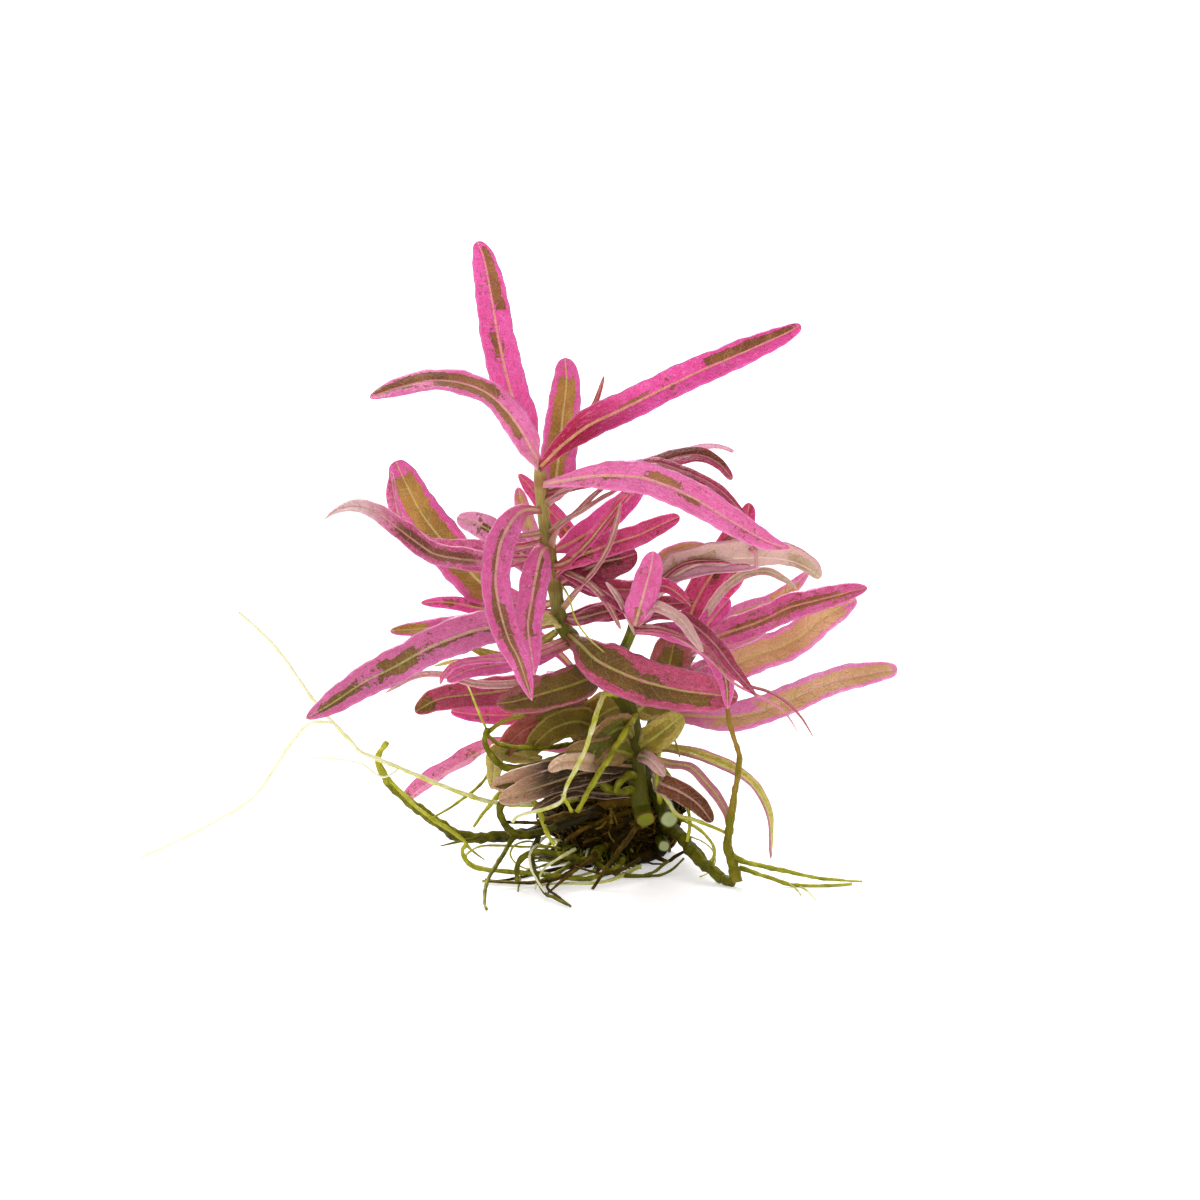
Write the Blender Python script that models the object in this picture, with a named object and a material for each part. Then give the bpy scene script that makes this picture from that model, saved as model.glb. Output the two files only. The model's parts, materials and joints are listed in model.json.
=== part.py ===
"""A pink aquarium stem plant with lance-shaped leaves, standing on its root plug and its spread roots.

The script works in millimetres and turns them into metres where it makes the meshes.
World axes: +X to the right of the front view, +Y away from it, +Z up. The origin is the middle of the
root plug's flat underside, on the surface that the plant stands on.

The shapes are drawn on the front view, which looks down at the plant by VIEW_TILT. A point there is
(across, rise, depth): across and rise lie in the picture plane, depth runs away from the viewer.
The first point of a leaf or root lies on the axis of what it grows from, and the last one is its tip.
"""

import math
from collections import namedtuple

import bmesh
import bpy
import numpy as np

MM = 0.001
VIEW_TILT = math.radians(15)
FOOT_ACROSS = -0.9
FOOT_DEPTH = 9.5
GAP = 0.3

# Leaves
LEAF_THICKNESS = 0.6
PETIOLE_WIDTH = 1.0
WIDENING_SHARE = 0.35
TIP_SHARE = 0.45
TIP_BLUNTNESS = 3
BLUNT_TIP = 0.5
TAPER_SHARE = 0.2
WIDEST_SHARE = 0.4
TIP_WIDTH_SHARE = 0.15
EDGE_LIFT_SHARE = 0.15
SIDE_SMOOTHING_PASSES = 2
LEAF_RING_STEP = 2.4
LEAF_START_CLEARANCE = GAP + 0.35

# Stems and roots
STEM_SIDES = 8
STEM_RING_STEP = 2.2
STEM_START_CLEARANCE = GAP + 0.65
ROOT_SIDES = 5
ROOT_RING_STEP = 2.2
ROOT_START_CLEARANCE = GAP + 0.25
FEWEST_RINGS = 5
CURVE_STEPS = 24
RING_START_DIRECTION = (0.3, 1.0, 0.2)
SHARP_ANGLE = math.radians(50)

# Root plug: an uneven lump with a flat underside
PLUG_CENTRE = (0, 0, 6.3)
PLUG_RADII = (9.3, 6.8, 7.2)
PLUG_LUMP_SHARE = 0.07
PLUG_SUBDIVISIONS = 4

Leaf = namedtuple(
    "Leaf", "name stem width lean points tip_lean yaw tip_yaw widening tint point",
    defaults=(None, 0, None, WIDENING_SHARE, "pink", BLUNT_TIP),
)
Tube = namedtuple("Tube", "name parent start_radius end_radius points tint", defaults=("stem",))

# Colour, roughness of each finish
FINISHES = {
    "pink": ((0.72, 0.12, 0.33), 0.45),
    "dusky": ((0.34, 0.06, 0.09), 0.5),
    "olive": ((0.25, 0.18, 0.04), 0.5),
    "pale": ((0.66, 0.50, 0.45), 0.5),
    "stem": ((0.16, 0.13, 0.02), 0.5),
    "root": ((0.20, 0.20, 0.02), 0.55),
    "pale_root": ((0.60, 0.58, 0.22), 0.55),
    "plug": ((0.03, 0.02, 0.01), 0.85),
}

STEMS = [
    Tube("main_stem", None, 1.4, 0.85, [
        (3.6, 7.2, -1.8), (3.0, 9.0, 0.2), (2.5, 12.5, 0.8), (2.2, 16.0, 1.5), (1.6, 21.3, 1.8),
        (0.3, 24.5, 1.5), (-3.5, 29.0, 0.0), (-7.0, 33.0, -2.2), (-8.4, 35.5, -3.3), (-8.9, 38.5, -3.8),
        (-9.6, 43.0, -4.1), (-10.1, 46.0, -4.2), (-10.8, 51.0, -4.4), (-11.2, 56.6, -4.5)]),
    Tube("middle_shoot", "main_stem", 0.8, 0.7, [
        (0.0, 25.0, 0.8), (-0.3, 28.0, -3.3), (0.3, 30.5, -4.8), (1.3, 32.9, -6.3), (2.3, 35.3, -7.2)]),
    Tube("right_shoot", None, 1.35, 0.8, [
        (6.9, 7.3, -1.6), (6.6, 8.0, 0.0), (6.0, 9.6, 1.6), (5.0, 12.0, 3.0), (4.3, 15.0, 5.6), (4.3, 18.5, 8.0),
        (5.4, 22.0, 9.0), (7.8, 27.0, 9.5), (10.8, 32.0, 9.3)]),
    Tube("left_shoot", "root_plug", 1.0, 0.8, [
        (0.6, 13.0, 6.4), (-0.8, 15.8, 7.2), (-2.5, 18.5, 8.4), (-5.0, 23.0, 9.4), (-6.5, 28.5, 9.8)]),
    Tube("cut_stem", "root_plug", 0.8, 0.85, [(5.5, 4.6, 6.0), (6.0, 3.9, 2.0), (6.2, 3.5, -0.6)]),
]

CROWN_LEAVES = [
    Leaf("crown_leaf_top", "main_stem", 5.0, 0, [
        (-11.2, 56.6, -4.5), (-13.0, 61.5, -2.7), (-15.1, 66.8, -0.9), (-16.8, 73.8, 1.2),
        (-17.9, 80.1, 3.0), (-18.9, 85.4, 4.2), (-19.9, 88.1, 4.5)], widening=0.25, point=0.4),
    Leaf("crown_leaf_left", "main_stem", 4.3, 45, [
        (-11.2, 56.0, -4.5), (-12.2, 58.4, -6.9), (-13.6, 61.2, -8.1), (-15.9, 64.4, -9.0),
        (-18.8, 66.9, -9.9), (-22.6, 68.2, -10.8), (-26.6, 68.4, -11.7), (-31.5, 67.2, -12.9),
        (-34.7, 66.1, -13.5)], tip_lean=55, widening=0.2, point=0.45),
    Leaf("crown_leaf_back", "main_stem", 5.1, 5, [
        (-10.8, 51.0, -4.3), (-9.3, 53.5, 0.8), (-8.6, 58.0, 3.8), (-8.0, 64.0, 6.3),
        (-7.5, 68.5, 7.5), (-7.7, 72.0, 8.1)], point=0.4),
    Leaf("crown_leaf_right", "main_stem", 4.4, 25, [
        (-11.2, 56.3, -4.5), (-9.6, 58.0, -7.2), (-7.6, 59.9, -8.1), (-4.2, 62.4, -8.7),
        (0.0, 64.4, -9.0), (5.6, 67.2, -9.3), (11.2, 69.9, -9.0), (16.8, 72.3, -8.4),
        (22.4, 74.8, -7.8), (25.1, 76.2, -7.5)], widening=0.3, point=0.4),
]

UPPER_RIGHT_LEAVES = [
    Leaf("arching_leaf_right", "main_stem", 4.7, 20, [
        (-11.1, 54.1, -4.5), (-8.0, 54.6, -8.4), (-4.2, 55.2, -12.0), (0.0, 55.3, -14.2),
        (4.2, 54.7, -16.2), (9.8, 52.4, -18.0), (15.4, 49.0, -19.5), (20.3, 46.2, -20.4),
        (23.8, 45.2, -21.0)], widening=0.45, point=0.8),
    Leaf("pale_leaf_behind", "main_stem", 3.4, 115, [
        (-10.8, 51.6, -4.3), (-7.0, 54.0, -1.5), (-2.8, 55.9, 1.5), (4.2, 57.0, 4.5),
        (8.4, 58.8, 6.0), (13.3, 59.6, 6.9), (16.0, 58.9, 7.2)], point=0.4, tint="pale"),
    Leaf("curled_leaf_dark", "main_stem", 3.2, 55, [
        (-10.9, 52.4, -4.3), (-7.5, 53.6, -6.3), (-4.0, 54.6, -6.9), (1.0, 55.5, -6.6),
        (5.0, 57.0, -6.0), (8.4, 58.0, -5.1), (11.2, 58.2, -4.5), (13.8, 57.0, -4.2),
        (15.6, 54.9, -3.9)], point=0.4, tint="dusky"),
    Leaf("mid_leaf_right", "main_stem", 3.5, 30, [
        (-9.6, 42.8, -4.1), (-8.0, 43.0, -6.6), (-5.6, 44.2, -7.8), (-1.4, 45.8, -8.4),
        (2.8, 47.2, -9.0), (5.8, 48.6, -9.3), (8.3, 49.7, -9.6)], point=0.4),
    Leaf("mid_leaf_blotched", "main_stem", 3.8, 10, [
        (-9.9, 44.8, -4.2), (-7.5, 45.8, -1.2), (-4.6, 47.5, 0.6), (-1.4, 50.0, 1.8),
        (1.5, 52.5, 2.7), (3.2, 54.4, 3.3)]),
    Leaf("speckled_leaf_behind", "main_stem", 2.8, 10, [
        (-9.0, 39.5, -3.8), (-7.2, 42.5, -0.3), (-6.2, 45.0, 2.2), (-7.8, 48.2, 4.2),
        (-10.4, 51.3, 5.4), (-12.5, 53.8, 6.0), (-14.2, 55.8, 6.3)]),
]

MIDDLE_SHOOT_LEAVES = [
    Leaf("middle_leaf_upright", "middle_shoot", 4.2, 5, [
        (1.9, 34.2, -6.9), (2.6, 36.6, -10.2), (3.4, 39.4, -11.7), (4.3, 42.8, -12.9), (4.6, 44.9, -13.5)]),
    Leaf("torn_leaf_grey", "middle_shoot", 5.4, 148, [
        (2.3, 34.6, -7.2), (3.6, 37.4, -4.5), (6.0, 40.5, -3.9), (11.2, 43.4, -4.5),
        (18.2, 44.2, -5.4), (23.0, 43.9, -6.3), (26.0, 42.8, -6.9), (28.0, 41.2, -7.5)], point=0.4,
        tint="pale"),
    Leaf("drooping_leaf_dark", "middle_shoot", 2.6, 65, [
        (2.3, 34.6, -7.2), (4.4, 35.7, -6.9), (7.5, 35.8, -8.7), (9.8, 34.8, -10.8),
        (13.0, 32.0, -14.1), (15.6, 28.6, -15.9), (19.2, 24.4, -17.1)], point=0.9, tint="dusky"),
    Leaf("hanging_leaf", "middle_shoot", 2.9, 20, [
        (2.0, 33.8, -6.9), (6.5, 33.8, -9.0), (10.5, 32.6, -10.2), (13.0, 30.4, -11.1),
        (14.7, 27.0, -12.0), (15.0, 22.9, -12.6)], tip_lean=0, point=0.7),
]

RIGHT_SHOOT_LEAVES = [
    Leaf("rising_leaf_right", "right_shoot", 4.4, 10, [
        (10.6, 31.6, 9.3), (9.9, 35.5, 9.9), (11.2, 38.8, 10.8), (12.9, 41.6, 11.7),
        (16.0, 46.5, 12.6), (17.8, 49.8, 13.2), (18.2, 51.8, 13.5)]),
    Leaf("rising_leaf_behind", "right_shoot", 3.9, 10, [
        (10.8, 32.0, 9.3), (10.9, 34.7, 13.8), (12.4, 37.6, 15.9), (15.1, 40.6, 17.1),
        (17.0, 43.2, 18.0), (18.6, 45.6, 18.6)]),
    Leaf("small_leaf_right", "right_shoot", 3.2, 10, [
        (10.8, 31.8, 9.3), (12.0, 34.1, 7.2), (13.5, 36.2, 6.3), (15.4, 38.3, 5.7)]),
    Leaf("right_leaf_upper", "right_shoot", 4.4, 40, [
        (9.8, 30.3, 9.3), (12.9, 32.6, 3.6), (16.8, 34.0, 1.8), (20.3, 35.3, 0.6), (23.8, 37.0, -0.3),
        (28.0, 38.1, -1.2), (32.2, 39.2, -2.4), (34.6, 39.8, -3.0)]),
    Leaf("right_leaf_middle", "right_shoot", 5.0, 15, [
        (8.3, 28.0, 9.4), (11.5, 27.4, 7.8), (15.1, 28.6, 6.9), (19.6, 30.6, 6.3), (22.4, 31.5, 5.8),
        (25.2, 32.9, 5.4), (28.0, 35.3, 4.8), (31.5, 37.4, 4.2), (33.2, 38.2, 3.9)], point=0.4),
    Leaf("right_leaf_low", "right_shoot", 4.4, 30, [
        (5.0, 21.0, 9.0), (8.4, 21.8, 5.2), (14.0, 21.6, 2.2), (18.2, 22.1, 0.6), (22.4, 23.5, -0.6),
        (29.4, 26.5, -2.4), (35.0, 27.8, -3.6), (38.8, 28.4, -4.5)], point=0.28),
    Leaf("broad_leaf_behind", "right_shoot", 6.0, 10, [
        (7.0, 25.2, 9.4), (6.6, 26.2, 6.6), (7.0, 29.2, 4.6), (8.0, 33.8, 3.4)], tint="olive"),
    Leaf("arching_leaf_low", "right_shoot", 2.4, 50, [
        (4.2, 16.5, 7.8), (6.4, 17.2, 4.5), (11.2, 16.3, 1.5), (16.8, 13.8, -1.5), (19.6, 10.9, -3.6),
        (21.0, 7.3, -5.4), (21.1, 1.8, -7.5)], tip_lean=0, tip_yaw=50, point=0.8),
    Leaf("back_leaf_right", "right_shoot", 4.4, 80, [
        (8.6, 28.4, 9.4), (9.3, 29.0, 16.5), (10.4, 28.0, 25.5), (11.4, 26.4, 34.5)]),
]

LEFT_LEAVES = [
    Leaf("left_leaf_big", "main_stem", 6.2, 10, [
        (-8.8, 37.8, -3.6), (-11.8, 37.4, -0.9), (-16.8, 37.9, 2.2), (-19.3, 40.3, 3.9),
        (-21.0, 42.0, 4.8), (-24.7, 46.2, 6.6), (-27.8, 50.2, 7.8), (-29.9, 54.2, 8.7),
        (-31.5, 57.6, 9.1)], point=0.32),
    Leaf("left_leaf_narrow", "main_stem", 4.0, 50, [
        (-9.8, 43.8, -4.2), (-13.5, 43.6, -7.8), (-18.9, 43.4, -10.2), (-25.2, 44.2, -12.0),
        (-28.0, 45.8, -13.2), (-30.8, 47.9, -14.4), (-33.6, 50.0, -15.6), (-36.4, 51.0, -16.8),
        (-39.2, 50.5, -18.0), (-41.2, 49.0, -18.9)], point=1.2),
    Leaf("left_leaf_folded", "main_stem", 3.2, 50, [
        (-10.1, 46.4, -4.2), (-13.5, 45.4, -5.1), (-18.6, 44.8, -4.8), (-25.2, 45.1, -3.9),
        (-27.9, 46.3, -3.3), (-30.3, 48.9, -2.4), (-31.3, 52.0, -1.5), (-31.9, 56.0, -0.6)],
        tip_lean=0, tip_yaw=-55, tint="dusky"),
    Leaf("left_leaf_middle", "main_stem", 4.1, 15, [
        (-9.6, 42.0, -4.1), (-12.5, 43.6, -1.2), (-16.0, 46.4, 0.3), (-19.6, 48.6, 1.5),
        (-22.8, 49.6, 2.4)], widening=0.2, point=0.4),
    Leaf("left_leaf_small", "left_shoot", 3.1, 45, [
        (-6.4, 28.2, 9.8), (-10.0, 31.6, 8.4), (-15.4, 34.1, 7.2), (-21.0, 34.8, 6.9),
        (-28.0, 34.0, 6.6), (-32.3, 33.7, 6.6)], point=0.4),
    Leaf("long_leaf_lower_left", "main_stem", 5.3, 30, [
        (-8.3, 34.8, -3.2), (-12.6, 34.6, -6.9), (-17.2, 34.3, -8.7), (-21.0, 33.6, -9.9),
        (-26.6, 31.4, -11.7), (-31.5, 28.7, -13.2), (-35.7, 26.6, -14.4), (-39.9, 23.8, -15.6),
        (-43.7, 21.6, -16.5)], point=0.6),
    Leaf("broad_leaf_lower_left", "left_shoot", 4.6, 35, [
        (-5.6, 25.0, 9.8), (-9.0, 25.2, 5.1), (-14.0, 25.5, 1.5), (-19.6, 24.9, -0.6),
        (-25.2, 24.2, -2.4), (-28.7, 22.4, -3.3)], point=0.4, tint="dusky"),
    Leaf("pink_leaf_low", "left_shoot", 3.0, 35, [
        (-4.2, 21.4, 9.6), (-8.5, 21.6, 7.2), (-14.0, 21.8, 6.0), (-19.6, 21.9, 5.1),
        (-23.8, 22.4, 4.5)], point=0.4),
    Leaf("pale_leaf_low_left", "left_shoot", 4.4, 140, [
        (-2.2, 18.0, 9.4), (-6.5, 16.9, 9.2), (-12.0, 17.4, 8.6), (-18.2, 17.6, 7.8),
        (-22.4, 15.4, 6.6), (-26.6, 12.9, 5.4), (-30.1, 10.2, 4.5)], widening=0.8, point=0.4,
        tint="pale"),
    Leaf("back_leaf_left", "left_shoot", 4.4, 80, [
        (-6.2, 27.2, 9.8), (-7.6, 27.8, 16.5), (-9.4, 27.0, 25.5), (-11.6, 25.6, 34.5)]),
]

FRONT_LEAVES = [
    Leaf("drooping_leaf_left", "main_stem", 4.2, 20, [
        (-10.8, 50.6, -4.3), (-14.0, 50.2, -9.9), (-16.4, 46.5, -13.8), (-17.2, 42.3, -15.9),
        (-17.2, 39.5, -17.1), (-16.5, 36.0, -18.6), (-15.4, 32.5, -19.8), (-14.0, 29.7, -20.7),
        (-12.2, 24.1, -21.9)], tip_lean=0, point=0.8),
    Leaf("drooping_leaf_right", "main_stem", 4.1, 20, [
        (-9.9, 45.2, -4.2), (-10.9, 44.8, -8.1), (-11.8, 41.0, -10.5), (-12.3, 38.1, -11.7),
        (-12.8, 34.6, -12.9), (-12.4, 31.0, -13.8), (-11.9, 27.6, -14.4)], tip_lean=0, point=0.8),
    Leaf("broad_leaf_centre_right", "main_stem", 6.6, 20, [
        (-7.6, 33.6, -2.7), (-5.5, 31.8, -6.6), (-2.8, 29.4, -9.0), (2.8, 26.9, -10.2),
        (8.4, 25.5, -9.9), (13.0, 24.9, -8.7), (16.5, 24.5, -7.8)], tint="dusky"),
    Leaf("broad_leaf_centre_left", "main_stem", 5.2, 20, [
        (-2.2, 27.5, 0.4), (-4.5, 27.0, -4.6), (-7.0, 26.1, -6.9), (-10.5, 25.1, -9.0),
        (-14.5, 24.0, -10.5), (-17.2, 23.6, -11.4)], tint="olive"),
    Leaf("oval_leaf", "main_stem", 4.3, 10, [
        (2.2, 16.2, 1.5), (-0.5, 17.0, -3.4), (-3.5, 16.8, -5.4), (-7.7, 16.8, -6.8)], tint="olive"),
    Leaf("olive_leaf_right", "main_stem", 4.3, 10, [
        (2.2, 17.2, 1.8), (4.5, 18.6, -1.8), (6.7, 20.3, -3.6), (8.8, 22.0, -4.8)], tint="olive"),
    Leaf("dusky_leaf_low", "main_stem", 3.8, 30, [
        (2.4, 14.4, 1.5), (-2.8, 14.8, -2.4), (-8.4, 14.0, -4.2), (-13.0, 13.2, -5.4),
        (-17.9, 12.0, -6.6)], point=0.4, tint="dusky"),
]

ROOTS = [
    Tube("left_root_thick", "root_plug", 0.6, 0.22, [
        (-5.5, 8.0, 6.0), (-9.5, 6.6, 0.8), (-14.0, 5.2, -1.5), (-21.7, 4.8, -3.0),
        (-25.2, 6.6, -3.5), (-30.8, 10.8, -4.0), (-32.9, 13.2, -4.2), (-33.9, 16.1, -4.4),
        (-32.6, 18.2, -4.5)], "root"),
    Tube("left_root_low", "root_plug", 0.42, 0.25, [
        (1.0, 2.4, 6.0), (-0.6, 0.4, -1.5), (-4.5, -1.0, -5.4), (-8.4, -0.7, -6.6), (-14.0, -0.1, -7.4),
        (-20.3, 0.6, -8.0), (-22.1, 2.8, -7.8), (-22.0, 4.5, -7.4), (-28.0, 8.7, -7.0),
        (-32.2, 12.9, -6.6)], "pale_root"),
    Tube("looped_root", "root_plug", 0.85, 0.3, [
        (-1.5, 8.7, 6.0), (-4.0, 8.2, 0.6), (-7.0, 7.0, -1.5), (-11.2, 5.5, -3.5), (-14.7, 5.3, -5.0),
        (-16.8, 8.0, -6.0), (-16.1, 10.2, -6.4), (-14.0, 10.5, -6.6), (-11.9, 9.7, -6.8),
        (-10.1, 5.2, -7.2), (-9.1, 3.8, -7.4)], "root"),
    Tube("front_left_root", "looped_root", 0.38, 0.2, [
        (-14.7, 5.3, -5.0), (-16.4, 2.4, -8.5), (-18.5, -1.1, -14.0), (-18.9, -3.9, -18.5),
        (-18.6, -5.0, -20.5)], "root"),
    Tube("front_root", "looped_root", 0.38, 0.2, [
        (-11.2, 5.5, -3.5), (-12.3, 1.8, -5.6), (-10.8, -2.5, -13.0), (-9.1, -3.5, -16.0),
        (-6.9, -4.6, -19.0)], "root"),
    Tube("right_root_thick", "root_plug", 0.95, 0.6, [
        (5.4, 6.6, 6.0), (8.0, 5.4, 0.8), (10.0, 3.1, -1.8), (11.9, 1.0, -4.5), (14.4, -1.0, -6.8)],
        "root"),
    Tube("right_root_tall", "right_shoot", 0.28, 0.8, [
        (9.2, 29.2, 9.4), (12.5, 26.4, 3.6), (15.0, 22.9, -1.0), (15.4, 20.6, -2.2),
        (16.5, 17.1, -4.0), (16.7, 15.0, -5.0), (15.8, 9.4, -6.5), (15.1, 3.8, -7.2),
        (15.8, 1.4, -7.6), (16.4, -1.5, -8.5)], "root"),
    Tube("far_right_root", "right_root_tall", 0.42, 0.18, [
        (15.3, 2.6, -7.4), (17.6, 1.4, -8.2), (23.8, 0.0, -8.4), (28.0, -0.9, -7.8),
        (34.0, -1.4, -6.5)], "pale_root"),
    Tube("front_root_bright", "main_stem", 0.55, 0.3, [
        (0.3, 24.5, 1.5), (-2.0, 25.0, -3.0), (-3.1, 22.7, -6.0), (-4.9, 17.1, -8.8),
        (-7.4, 12.2, -10.0), (-8.1, 10.1, -10.3), (-9.8, 9.1, -10.6), (-14.0, 8.0, -11.0),
        (-15.1, 7.0, -11.2)], "pale_root"),
    Tube("left_root_loop", "left_shoot", 0.45, 0.28, [
        (-2.5, 18.4, 8.4), (-4.2, 17.4, 3.5), (-7.7, 16.4, 0.5), (-12.6, 14.9, -0.8),
        (-16.4, 15.0, -2.0), (-18.9, 17.8, -2.8), (-18.6, 19.4, -3.2), (-16.1, 21.2, -3.8),
        (-13.3, 21.9, -4.2)], "root"),
    Tube("hair_root_long", "root_plug", 0.4, 0.22, [
        (-4.5, 10.2, 6.0), (-8.5, 9.8, 0.2), (-12.6, 9.4, -2.2), (-18.2, 9.8, -3.6),
        (-25.2, 12.2, -5.0), (-30.8, 14.6, -6.0), (-36.1, 16.8, -6.8), (-37.8, 18.5, -7.0),
        (-42.6, 23.8, -7.4), (-46.2, 29.0, -7.6), (-49.0, 32.5, -7.8), (-53.2, 36.4, -8.0)],
        "pale_root"),
    Tube("hair_root_left", "hair_root_long", 0.25, 0.22, [
        (-40.2, 21.0, -7.2), (-43.4, 20.8, -6.2), (-46.2, 17.8, -5.4), (-49.0, 13.6, -4.8),
        (-51.8, 10.1, -4.0), (-58.8, 5.9, 0.0), (-67.6, 1.7, 5.6)], "pale_root"),
    Tube("back_root_left", "root_plug", 0.6, 0.35, [
        (-3.0, 7.2, 11.0), (-5.6, 6.6, 17.0), (-7.6, 6.3, 21.5), (-9.3, 6.9, 25.5)], "root"),
    Tube("back_root_right", "root_plug", 0.6, 0.35, [
        (2.5, 7.2, 11.0), (5.0, 6.6, 17.0), (7.2, 6.2, 21.0), (8.4, 6.8, 25.0)], "root"),
]

LEAVES = (CROWN_LEAVES + UPPER_RIGHT_LEAVES + MIDDLE_SHOOT_LEAVES + RIGHT_SHOOT_LEAVES
          + LEFT_LEAVES + FRONT_LEAVES)


def world(points):
    """Front-view points (across, rise, depth) as x, y, z, measured from the plug's foot."""
    across, rise, depth = np.array(points, float).T
    height = (rise - depth * math.sin(VIEW_TILT)) / math.cos(VIEW_TILT)
    return np.stack([across - FOOT_ACROSS, depth - FOOT_DEPTH, height], axis=1)


def curve_through(points):
    """A dense smooth curve (Catmull-Rom) through the points."""
    ends = np.vstack([2 * points[0] - points[1], points, 2 * points[-1] - points[-2]])
    t = np.linspace(0, 1, CURVE_STEPS, endpoint=False)[:, None]
    stretches = [
        0.5 * (2 * b + (c - a) * t + (2 * a - 5 * b + 4 * c - d) * t**2 + (3 * b - a - 3 * c + d) * t**3)
        for a, b, c, d in zip(ends, ends[1:], ends[2:], ends[3:])
    ]
    return np.vstack(stretches + [points[-1:]])


def share_along(curve):
    """Distance along the curve, as a share of its length, with the length."""
    steps = np.linalg.norm(np.diff(curve, axis=0), axis=1)
    along = np.concatenate([[0], np.cumsum(steps)])
    return along / along[-1], along[-1]


def even_points(curve, step):
    """The curve's points at even distances of about one step."""
    share, length = share_along(curve)
    wanted = np.linspace(0, 1, max(FEWEST_RINGS, round(length / step)) + 1)
    return np.stack([np.interp(wanted, share, curve[:, axis]) for axis in range(3)], axis=1)


def plug_scale(directions):
    """How far the plug's lumpy surface lies along each unit direction, with 1 on the plain ellipsoid."""
    x, y, z = directions.T
    waves = np.sin(5 * x + 2 * z) * np.cos(4 * y - 1) + np.sin(7 * z + 3 * y) * np.cos(6 * x + 2)
    return 1 + PLUG_LUMP_SHARE * waves


def distance_to_plug(points):
    """About how far each point lies outside the plug's surface."""
    local = (points - PLUG_CENTRE) / np.array(PLUG_RADII)
    size = np.linalg.norm(local, axis=1)
    return (size - plug_scale(local / size[:, None])) * min(PLUG_RADII)


def distance_to_tube(points, tube, curve):
    """How far each point lies outside a tube, by the tube's nearest axis point."""
    gaps = np.linalg.norm(points[:, None, :] - curve[None, :, :], axis=2)
    nearest = gaps.argmin(axis=1)
    radii = tube.start_radius + (tube.end_radius - tube.start_radius) * share_along(curve)[0]
    return gaps.min(axis=1) - radii[nearest]


def trimmed(curve, outside, clearance):
    """The curve from where it has left its parent's surface by the clearance."""
    inside = np.flatnonzero(outside < clearance)
    return curve[inside[-1] + 1:] if len(inside) else curve


def grown_curve(points, parent, clearance, tubes):
    """The smooth curve of a piece, cut back to where it leaves the piece that it grows from."""
    curve = curve_through(world(points))
    if parent is None:
        return curve
    if parent == "root_plug":
        return trimmed(curve, distance_to_plug(curve), clearance)
    return trimmed(curve, distance_to_tube(curve, *tubes[parent]), clearance)


def unit(vectors):
    return vectors / np.linalg.norm(vectors, axis=-1, keepdims=True)


def facing(lean, yaw):
    """The direction a blade faces: toward the viewer, leaned up and turned to the right."""
    lean, yaw = math.radians(lean), math.radians(yaw)
    return np.array([math.cos(lean) * math.sin(yaw), -math.cos(lean) * math.cos(yaw), math.sin(lean)])


def blade_widths(share, width, widening, point):
    """Full widths along a lance-shaped leaf: a narrow stalk, a long widening, a slight taper, and a tip
    that is blunt or, with a larger point, sharp."""
    rising = np.clip(share / widening, 0, 1)
    rising = rising * rising * (3 - 2 * rising)
    falling = np.clip((share - 1 + TIP_SHARE) / TIP_SHARE, 0, 1)
    blade = PETIOLE_WIDTH + (width - PETIOLE_WIDTH) * rising
    blade = blade * (1 - TAPER_SHARE * (share - WIDEST_SHARE))
    tip_width = TIP_WIDTH_SHARE / point * width * (falling > 0)
    return np.maximum(blade * (1 - falling**TIP_BLUNTNESS) ** point, tip_width)


def smoothed(directions, passes):
    """Unit directions along a path, each averaged with its neighbours so that none turns suddenly."""
    for _ in range(passes):
        ends = np.vstack([directions[:1], directions, directions[-1:]])
        directions = unit(ends[:-2] + 2 * ends[1:-1] + ends[2:])
    return directions


def leaf_rings(leaf, tubes):
    """Four-point rings along a leaf: left edge, top, right edge and underside."""
    curve = grown_curve(leaf.points, leaf.stem, LEAF_START_CLEARANCE, tubes)
    path = even_points(curve, LEAF_RING_STEP)
    share = share_along(path)[0][:, None]
    tip_lean = leaf.lean if leaf.tip_lean is None else leaf.tip_lean
    tip_yaw = leaf.yaw if leaf.tip_yaw is None else leaf.tip_yaw
    normals = (1 - share) * facing(leaf.lean, leaf.yaw) + share * facing(tip_lean, tip_yaw)
    tangents = unit(np.gradient(path, axis=0))
    sides = smoothed(unit(np.cross(tangents, normals)), SIDE_SMOOTHING_PASSES)
    tops = unit(np.cross(sides, tangents))
    half_widths = blade_widths(share, leaf.width, leaf.widening, leaf.point) / 2
    half_thickness = np.minimum(LEAF_THICKNESS / 2, LEAF_THICKNESS * half_widths)
    edge_lift = tops * half_widths * EDGE_LIFT_SHARE
    return np.stack([path - sides * half_widths + edge_lift, path + tops * half_thickness,
                     path + sides * half_widths + edge_lift, path - tops * half_thickness], axis=1)


def tube_rings(path, radii, sides):
    """Round rings along a path, each turned as little as possible from the one before."""
    tangents = unit(np.gradient(path, axis=0))
    across = np.cross(tangents[0], RING_START_DIRECTION)
    angles = np.linspace(0, 2 * math.pi, sides, endpoint=False)[:, None]
    rings = []
    for centre, tangent, radius in zip(path, tangents, radii):
        across = unit(across - tangent * across.dot(tangent))
        upward = np.cross(tangent, across)
        rings.append(centre + radius * (np.cos(angles) * across + np.sin(angles) * upward))
    return np.array(rings)


def finish(name):
    """The Principled material of a finish, made once."""
    if name in bpy.data.materials:
        return bpy.data.materials[name]
    colour, roughness = FINISHES[name]
    material = bpy.data.materials.new(name)
    material.use_nodes = True
    shader = material.node_tree.nodes["Principled BSDF"]
    shader.inputs["Base Color"].default_value = (*colour, 1)
    shader.inputs["Roughness"].default_value = roughness
    shader.inputs["Metallic"].default_value = 0
    material.diffuse_color = (*colour, 1)
    return material


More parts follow.
